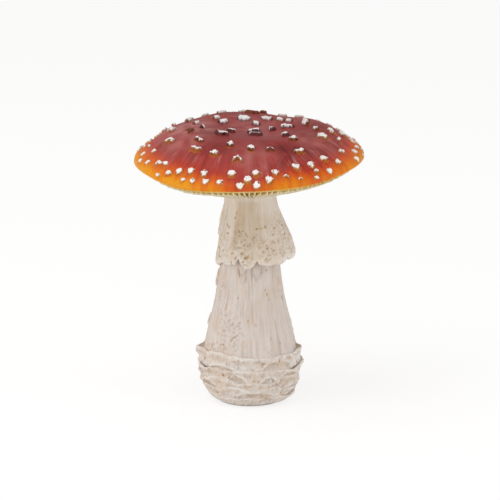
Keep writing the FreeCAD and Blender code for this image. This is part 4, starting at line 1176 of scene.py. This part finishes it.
# Where a thicker coat of red dried darker: azimuth, share of the cap's radius, width and strength
THICK_COAT = (
    (30, 0.61, 6 * MM, 0.6), (38, 0.66, 5 * MM, 0.5), (46, 0.74, 5 * MM, 0.6), (52, 0.79, 4 * MM, 0.5),
    (-8, 0.30, 8 * MM, 0.25), (12, 0.5, 7 * MM, 0.2), (66, 0.6, 5 * MM, 0.3), (27, 0.76, 5 * MM, 0.4),
)
thick = np.zeros_like(radius)
for azimuth, place, width, strength in THICK_COAT:
    away = cap_distance(grid, azimuth, place)
    thick = np.maximum(thick, strength * np.exp(-(away / width) ** 2) * (1 + 1.2 * streaks))

# Fine pale strokes and scratches above the margin, most of them on the right in front
rubbed[:-2] += (0.3 * ease(noise(spokes, 0.7 * MM, 89), 0.15, 0.7) * ease(share, 0.62, 0.8)
                * (1 - ease(share, 0.86, 0.92)) * (0.35 + 0.65 * np.exp(-((bearing - 35) / 35) ** 2))).ravel()
scratches = (0.85 * ease(noise(spokes, 0.7 * MM, 74), 0.35, 0.75)
             * ease(noise(spokes * (1, 1, 9), 7 * MM, 75), 0.1, 0.45)
             * (0.35 + 0.65 * np.exp(-((bearing - 32) / 32) ** 2))
             * ease(share, 0.68, 0.8) * (1 - ease(share, 0.88, 0.94)))

cap_paint, tree = new_material("varnished_red_and_ochre")
where = add_node(tree, "ShaderNodeTexCoord")
marks = {name: add_node(tree, "ShaderNodeAttribute", attribute_name=name).outputs["Fac"]
         for name in ("ripe", "hollow", "stain", "blot", "scratch", "rubbed")}
speck = add_node(tree, "ShaderNodeTexNoise", {"Vector": where.outputs["Object"], "Scale": 1 / (1.2 * MM),
                                              "Detail": 3.0})
jitter = add_node(tree, "ShaderNodeMath", {0: speck.outputs[0], 1: 0.04, 2: -0.02}, operation="MULTIPLY_ADD")
level = add_node(tree, "ShaderNodeMath", {0: marks["ripe"], 1: jitter.outputs[0]}, operation="ADD")
coat = add_node(tree, "ShaderNodeValToRGB", {0: level.outputs[0]}, stops=(
    (0.30, "983432"), (0.60, "982C29"), (0.80, "A8342C"), (0.865, "B2341A"), (0.90, "CA4C10"),
    (0.945, "DA6606"), (0.98, "E27E00"), (1.01, "E49400")))
cloud = add_node(tree, "ShaderNodeTexNoise", {"Vector": where.outputs["Object"], "Scale": 1 / (16 * MM),
                                              "Detail": 5.0, "Roughness": 0.65})
blood = add_node(tree, "ShaderNodeMapRange", {"Value": cloud.outputs[0], "From Min": 0.5, "From Max": 0.68,
                                              "To Max": 0.55})
deep = add_node(tree, "ShaderNodeMath", {0: marks["hollow"], 1: 0.45, 2: blood.outputs[0]},
                operation="MULTIPLY_ADD")
redder = add_node(tree, "ShaderNodeMath", {0: deep.outputs[0], 1: marks["scratch"]}, operation="SUBTRACT",
                  use_clamp=True)
early = add_node(tree, "ShaderNodeMapRange", {"Value": level.outputs[0], "From Min": 0.8, "From Max": 0.88,
                                              "To Min": 1.0, "To Max": 0.0})
held = add_node(tree, "ShaderNodeMath", {0: redder.outputs[0], 1: early.outputs[0]}, operation="MULTIPLY")
# The dark red in the hollows, the pinker places (partly rubbed red, partly painted sheen), the scratched
# places, the ochre stains round the warts, and the thick coat with the warts' painted shadows, one on another
colour = coat.outputs[0]
for amount, paint in ((held.outputs[0], "7F231E"), (marks["rubbed"], "C6827C"), (marks["scratch"], "D2A09A"),
                      (marks["stain"], "C06C14"), (marks["blot"], "64100C")):
    layer = add_node(tree, "ShaderNodeMix", {0: amount, 6: colour, 7: linear(paint)}, data_type="RGBA")
    colour = layer.outputs[2]
tooth = add_node(tree, "ShaderNodeTexNoise", {"Vector": where.outputs["Object"], "Scale": 1 / (0.6 * MM)})
bump = add_node(tree, "ShaderNodeBump", {"Height": tooth.outputs[0], "Strength": 0.5, "Distance": 0.2 * MM})
surface = add_node(tree, "ShaderNodeBsdfPrincipled", {
    "Base Color": colour, "Roughness": 0.5, "IOR": 1.5, "Specular IOR Level": 0.2,
    "Coat Weight": 0.04, "Coat Roughness": 0.35, "Normal": bump.outputs[0]})
add_node(tree, "ShaderNodeOutputMaterial", {"Surface": surface.outputs[0]})

# The wart groups: how strong the ochre below each wart is, how strong the painted dark red shadow below it
# is, the thickness of a wart, and how far from its lower edge the white begins
WART_GROUPS = (
    ("warts_crown", 0.0, 0.85, 2.4 * MM, 0.9 * MM), ("warts_inner_ring", 0.6, 0.6, 2.1 * MM, 0.8 * MM),
    ("warts_outer_ring", 0.8, 0.4, 2.0 * MM, 0.6 * MM),
    ("warts_shoulder_ring", 0.8, 0.1, 1.6 * MM, 0.35 * MM),
    ("warts_margin_ring", 0.4, 0.0, 1.4 * MM, 0.25 * MM),
)


def flattened(places, middle, side, uphill):
    """Places on the cap as flat ones, sideways and uphill from a chip's middle."""
    return np.stack([(places - middle) @ side, (places - middle) @ uphill], axis=-1)


def chip_frame(corners, triangles):
    """A chip's middle, its sideways, uphill and outward directions, and the flat outline of its foot."""
    corners = off_cap(corners)
    middle = corners.mean(axis=0)
    radius = math.hypot(middle[0], middle[1])
    bearing = math.atan2(middle[0], -middle[1])
    near = np.interp([radius - 0.5 * MM, radius + 0.5 * MM], OUTLINE_RADII, OUTLINE_HEIGHTS)
    slope = math.atan2(near[1] - near[0], 1 * MM)
    side = np.array([math.cos(bearing), math.sin(bearing), 0])
    out = np.array([math.sin(bearing), -math.cos(bearing), 0])
    normal = -math.sin(slope) * out + math.cos(slope) * np.array([0, 0, 1])
    uphill = np.cross(normal, side)
    rise = (corners - middle) @ normal
    foot = set(np.flatnonzero(rise < (rise.min() + rise.max()) / 2))
    under = [t for t in triangles if foot.issuperset(t)]
    edges = {(a, b) for t in under for a, b in zip(t, t[1:] + t[:1])}
    after = {a: b for a, b in edges if (b, a) not in edges}
    loop = [min(after)]
    while after[loop[-1]] != loop[0]:
        loop.append(after[loop[-1]])
    return middle, side, uphill, normal, flattened(corners[loop], middle, side, uphill)


def inside_depth(places, outline):
    """How far each place lies inside a closed outline. Outside it the depth is below 0."""
    best = np.full(len(places), np.inf)
    within = np.zeros(len(places), bool)
    for a, b in zip(outline, np.roll(outline, -1, axis=0)):
        edge = b - a
        share = np.clip(((places - a) @ edge) / (edge @ edge), 0, 1)
        best = np.minimum(best, np.linalg.norm(places - a - share[:, None] * edge, axis=1))
        crosses = (a[1] > places[:, 1]) != (b[1] > places[:, 1])
        level = edge[1] if abs(edge[1]) > 1e-9 else 1e-9
        within ^= crosses & (places[:, 0] < a[0] + (places[:, 1] - a[1]) / level * edge[0])
    return np.where(within, best, -best)


# Ochre was dabbed under the lower edge of each wart, and dark red is painted there as the wart's shadow, no
# further than this from its middle
STAIN_REACH = 11 * MM
chips = {node: [chip_frame(*part) for part in islands(node)] for node, *_ in WART_GROUPS}
stain = np.zeros(len(points))
# The thick coat of darker red, to which the painted shadows under the warts are added
blot = np.concatenate([thick.ravel(), [0.0, 0.0]])
for node, ochre_share, shadow_share, _, _ in WART_GROUPS:
    for middle, side, uphill, normal, flat in chips[node]:
        near = np.flatnonzero(np.linalg.norm(points - middle, axis=1) < STAIN_REACH)
        places = flattened(points[near], middle, side, uphill)
        ragged = MM * (0.55 * noise(points[near], 1.9 * MM, 79) + 0.25 * noise(points[near], 0.9 * MM, 80))
        runs = (1.5 + 0.9 * lattice(np.round(middle / MM).astype(int), 78)) * MM
        flow = ease(inside_depth(places + (0, runs), flat) + ragged, -0.9 * MM, 0.6 * MM)
        # A painted shadow in dark red just below the wart's lower edge
        shade = ease(inside_depth(places + (0, 1.0 * MM), flat) + ragged, -0.9 * MM, 0.5 * MM)
        stain[near] = np.maximum(stain[near], ochre_share * flow)
        blot[near] = np.maximum(blot[near], shadow_share * shade)
outside = np.concatenate([(share < 1.01).ravel(), [False, False]])
ends = np.zeros(2)
make_piece("painted_cap", on_cap(points), faces, cap_paint, "cap_ceramic", ["cap_shell"],
           ripe=np.concatenate([ripe.ravel(), [0.2, 1.0]]), hollow=np.concatenate([hollow.ravel(), ends]),
           scratch=np.concatenate([scratches.ravel(), ends]), stain=stain * outside, blot=blot * outside,
           rubbed=rubbed)


# Warts
# Flakes of slip pressed on by hand: thin chips with broken edges and small holes, painted warm white on
# top. Their edges are ochre further down, and dark red near the crown, where it is partly paint and partly
# painted shade on their lower sides.
WART_GRAIN = 0.32 * MM
WART_SEAT = 0.45 * MM
# How ochre rather than dark red the edges are, from the group at the crown to the one at the margin
EDGE_OCHRE = (0.0, 0.25, 0.6, 0.9, 1.0)

wart_paint, tree = new_material("chalk_white_bisque")
where = add_node(tree, "ShaderNodeTexCoord")
white = add_node(tree, "ShaderNodeAttribute", attribute_name="white")
under = add_node(tree, "ShaderNodeAttribute", attribute_name="under")
# The edge colours: the dark red near the crown is partly painted shade
edges = add_node(tree, "ShaderNodeValToRGB", {0: under.outputs["Fac"]},
                 stops=((0.0, "5A1210"), (0.5, "8E4A1C"), (1.0, "C08A45")))
crumb = add_node(tree, "ShaderNodeTexNoise", {"Vector": where.outputs["Object"], "Scale": 1 / (1.0 * MM),
                                              "Detail": 4.0})
chalk = add_node(tree, "ShaderNodeValToRGB", {0: crumb.outputs[0]}, stops=((0.3, "DDD5CF"), (0.55, "FAF7F4")))
colour = add_node(tree, "ShaderNodeMix", {0: white.outputs["Fac"], 6: edges.outputs[0], 7: chalk.outputs[0]},
                  data_type="RGBA")
tooth = add_node(tree, "ShaderNodeTexNoise", {"Vector": where.outputs["Object"], "Scale": 1 / (0.5 * MM),
                                              "Detail": 3.0})
bump = add_node(tree, "ShaderNodeBump", {"Height": tooth.outputs[0], "Strength": 0.5, "Distance": 0.15 * MM})
surface = add_node(tree, "ShaderNodeBsdfPrincipled", {"Base Color": colour.outputs[2], "Roughness": 0.6,
                                                      "Normal": bump.outputs[0]})
add_node(tree, "ShaderNodeOutputMaterial", {"Surface": surface.outputs[0]})


def chip(frame_of_chip, seed, thickness, dark_side):
    """One wart as a ragged flake that follows the cap: points, quads and how white each point is."""
    # A fine grid over the foot of the chip, dropped on to the cap
    middle, side, uphill, normal, flat = frame_of_chip
    low, high = flat.min(axis=0) - 1.1 * MM, flat.max(axis=0) + 1.1 * MM
    columns, rows = (np.ceil((high - low) / WART_GRAIN)).astype(int) + 1
    x, y = np.meshgrid(low[0] + WART_GRAIN * np.arange(columns), low[1] + WART_GRAIN * np.arange(rows))
    places = np.stack([x.ravel(), y.ravel()], axis=-1)
    plane = middle + places[:, :1] * side + places[:, 1:] * uphill
    skin = np.empty_like(plane)
    for i, place in enumerate(plane + normal * 6 * MM):
        hit = cap_skin.ray_cast(Vector(place), Vector(-normal), 14 * MM)[0]
        skin[i] = hit if hit else plane[i] - normal * 2 * MM
    # How deep each point lies inside the ragged outline, with a few small holes, unlike on any other chip
    apart = np.column_stack([places, np.full(len(places), seed * 7.7 * MM)])
    depth = inside_depth(places, flat)
    fringe = MM * (0.32 + 0.45 * noise(apart, 1.8 * MM, 81) + 0.25 * noise(apart, 0.8 * MM, 82))
    depth += fringe + 0.3 * dark_side
    depth -= 1.2 * MM * ease(noise(apart, 1.3 * MM, 83), 0.5, 0.75)
    # The points next to the outline are drawn on to it, so that the edge doesn't run in steps
    across, along_y = np.gradient(depth.reshape(rows, columns), WART_GRAIN)[::-1]
    slope = np.stack([across.ravel(), along_y.ravel()], axis=-1)
    slope /= np.maximum(np.linalg.norm(slope, axis=1, keepdims=True), 0.3)
    edge = np.abs(depth) < 0.6 * WART_GRAIN
    shift = np.where(edge, depth, 0)[:, None] * slope
    skin = skin - (shift[:, :1] * side + shift[:, 1:] * uphill)
    rise = np.where(edge, 0.0, ease(depth, 0.0, 0.55 * MM))
    body = thickness * (0.8 + 0.16 * noise(apart, 2.8 * MM, 84) + 0.07 * noise(apart, 1.1 * MM, 85))
    body = body * (1 + 0.15 * places[:, 1] / high[1])
    stands = skin + normal * (rise * body - (1 - rise) * 0.1 * MM)[:, None]
    seat = skin - normal * WART_SEAT
    # Only the cells inside stay, and a cell is filled in where two of them meet at a corner alone
    cells = grid_quads(rows, columns, closed=False)
    kept = (depth[cells].min(axis=1) > -0.6 * WART_GRAIN).reshape(rows - 1, columns - 1)
    for _ in range(3):
        pinch = kept[:-1, :-1] & kept[1:, 1:] & ~kept[1:, :-1] & ~kept[:-1, 1:]
        kept[1:, :-1] |= pinch
        pinch = ~kept[:-1, :-1] & ~kept[1:, 1:] & kept[1:, :-1] & kept[:-1, 1:]
        kept[:-1, :-1] |= pinch
    cells = cells[kept.ravel()]
    # A wall closes the flake along every edge that belongs to one cell only
    count = len(places)
    starts = cells.ravel()
    stops = np.roll(cells, -1, axis=1).ravel()
    single = ~np.isin(starts * count + stops, stops * count + starts)
    a, b = starts[single], stops[single]
    wall = np.stack([b, a, a + count, b + count], axis=-1)
    quads = np.vstack([cells, cells[:, ::-1] + count, wall])
    # The white stops short of the lower edge and keeps to the raised top, so the edge colour shows there:
    # near the crown this dark red is partly painted shade on the lower side
    shifted = inside_depth(places - (0, dark_side), flat) + fringe + 0.35 * MM * noise(apart, 1.0 * MM, 86)
    white = ease(shifted, 0, 0.4 * MM) * ease(rise, 0.25, 0.6)
    used, quads = np.unique(quads, return_inverse=True)
    return (np.vstack([stands, seat])[used], quads.reshape(-1, 4),
            np.concatenate([white, 0 * white])[used])


# The few chips that stayed dark red all over, by azimuth in degrees and share of the cap's radius
DARK_CHIPS = ((-77, 0.51), (176, 0.50), (167, 0.58), (100, 0.62), (-150, 0.66))

for group, (node, _, _, thickness, dark_side) in enumerate(WART_GROUPS):
    parts, faces, whites, base = [], [], [], 0
    for number, part in enumerate(chips[node]):
        skin, quads, white = chip(part, 60 * group + number, thickness, dark_side)
        white = white * (min(cap_distance(part[0], *spot) for spot in DARK_CHIPS) > 3 * MM)
        parts.append(skin)
        faces.append(quads + base)
        whites.append(white)
        base += len(skin)
    whites = np.concatenate(whites)
    make_piece(node + "_chips", on_cap(np.vstack(parts)), np.vstack(faces), wart_paint, "wart_ceramic",
               [node], white=whites, under=np.full(len(whites), EDGE_OCHRE[group]))


low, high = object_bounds()
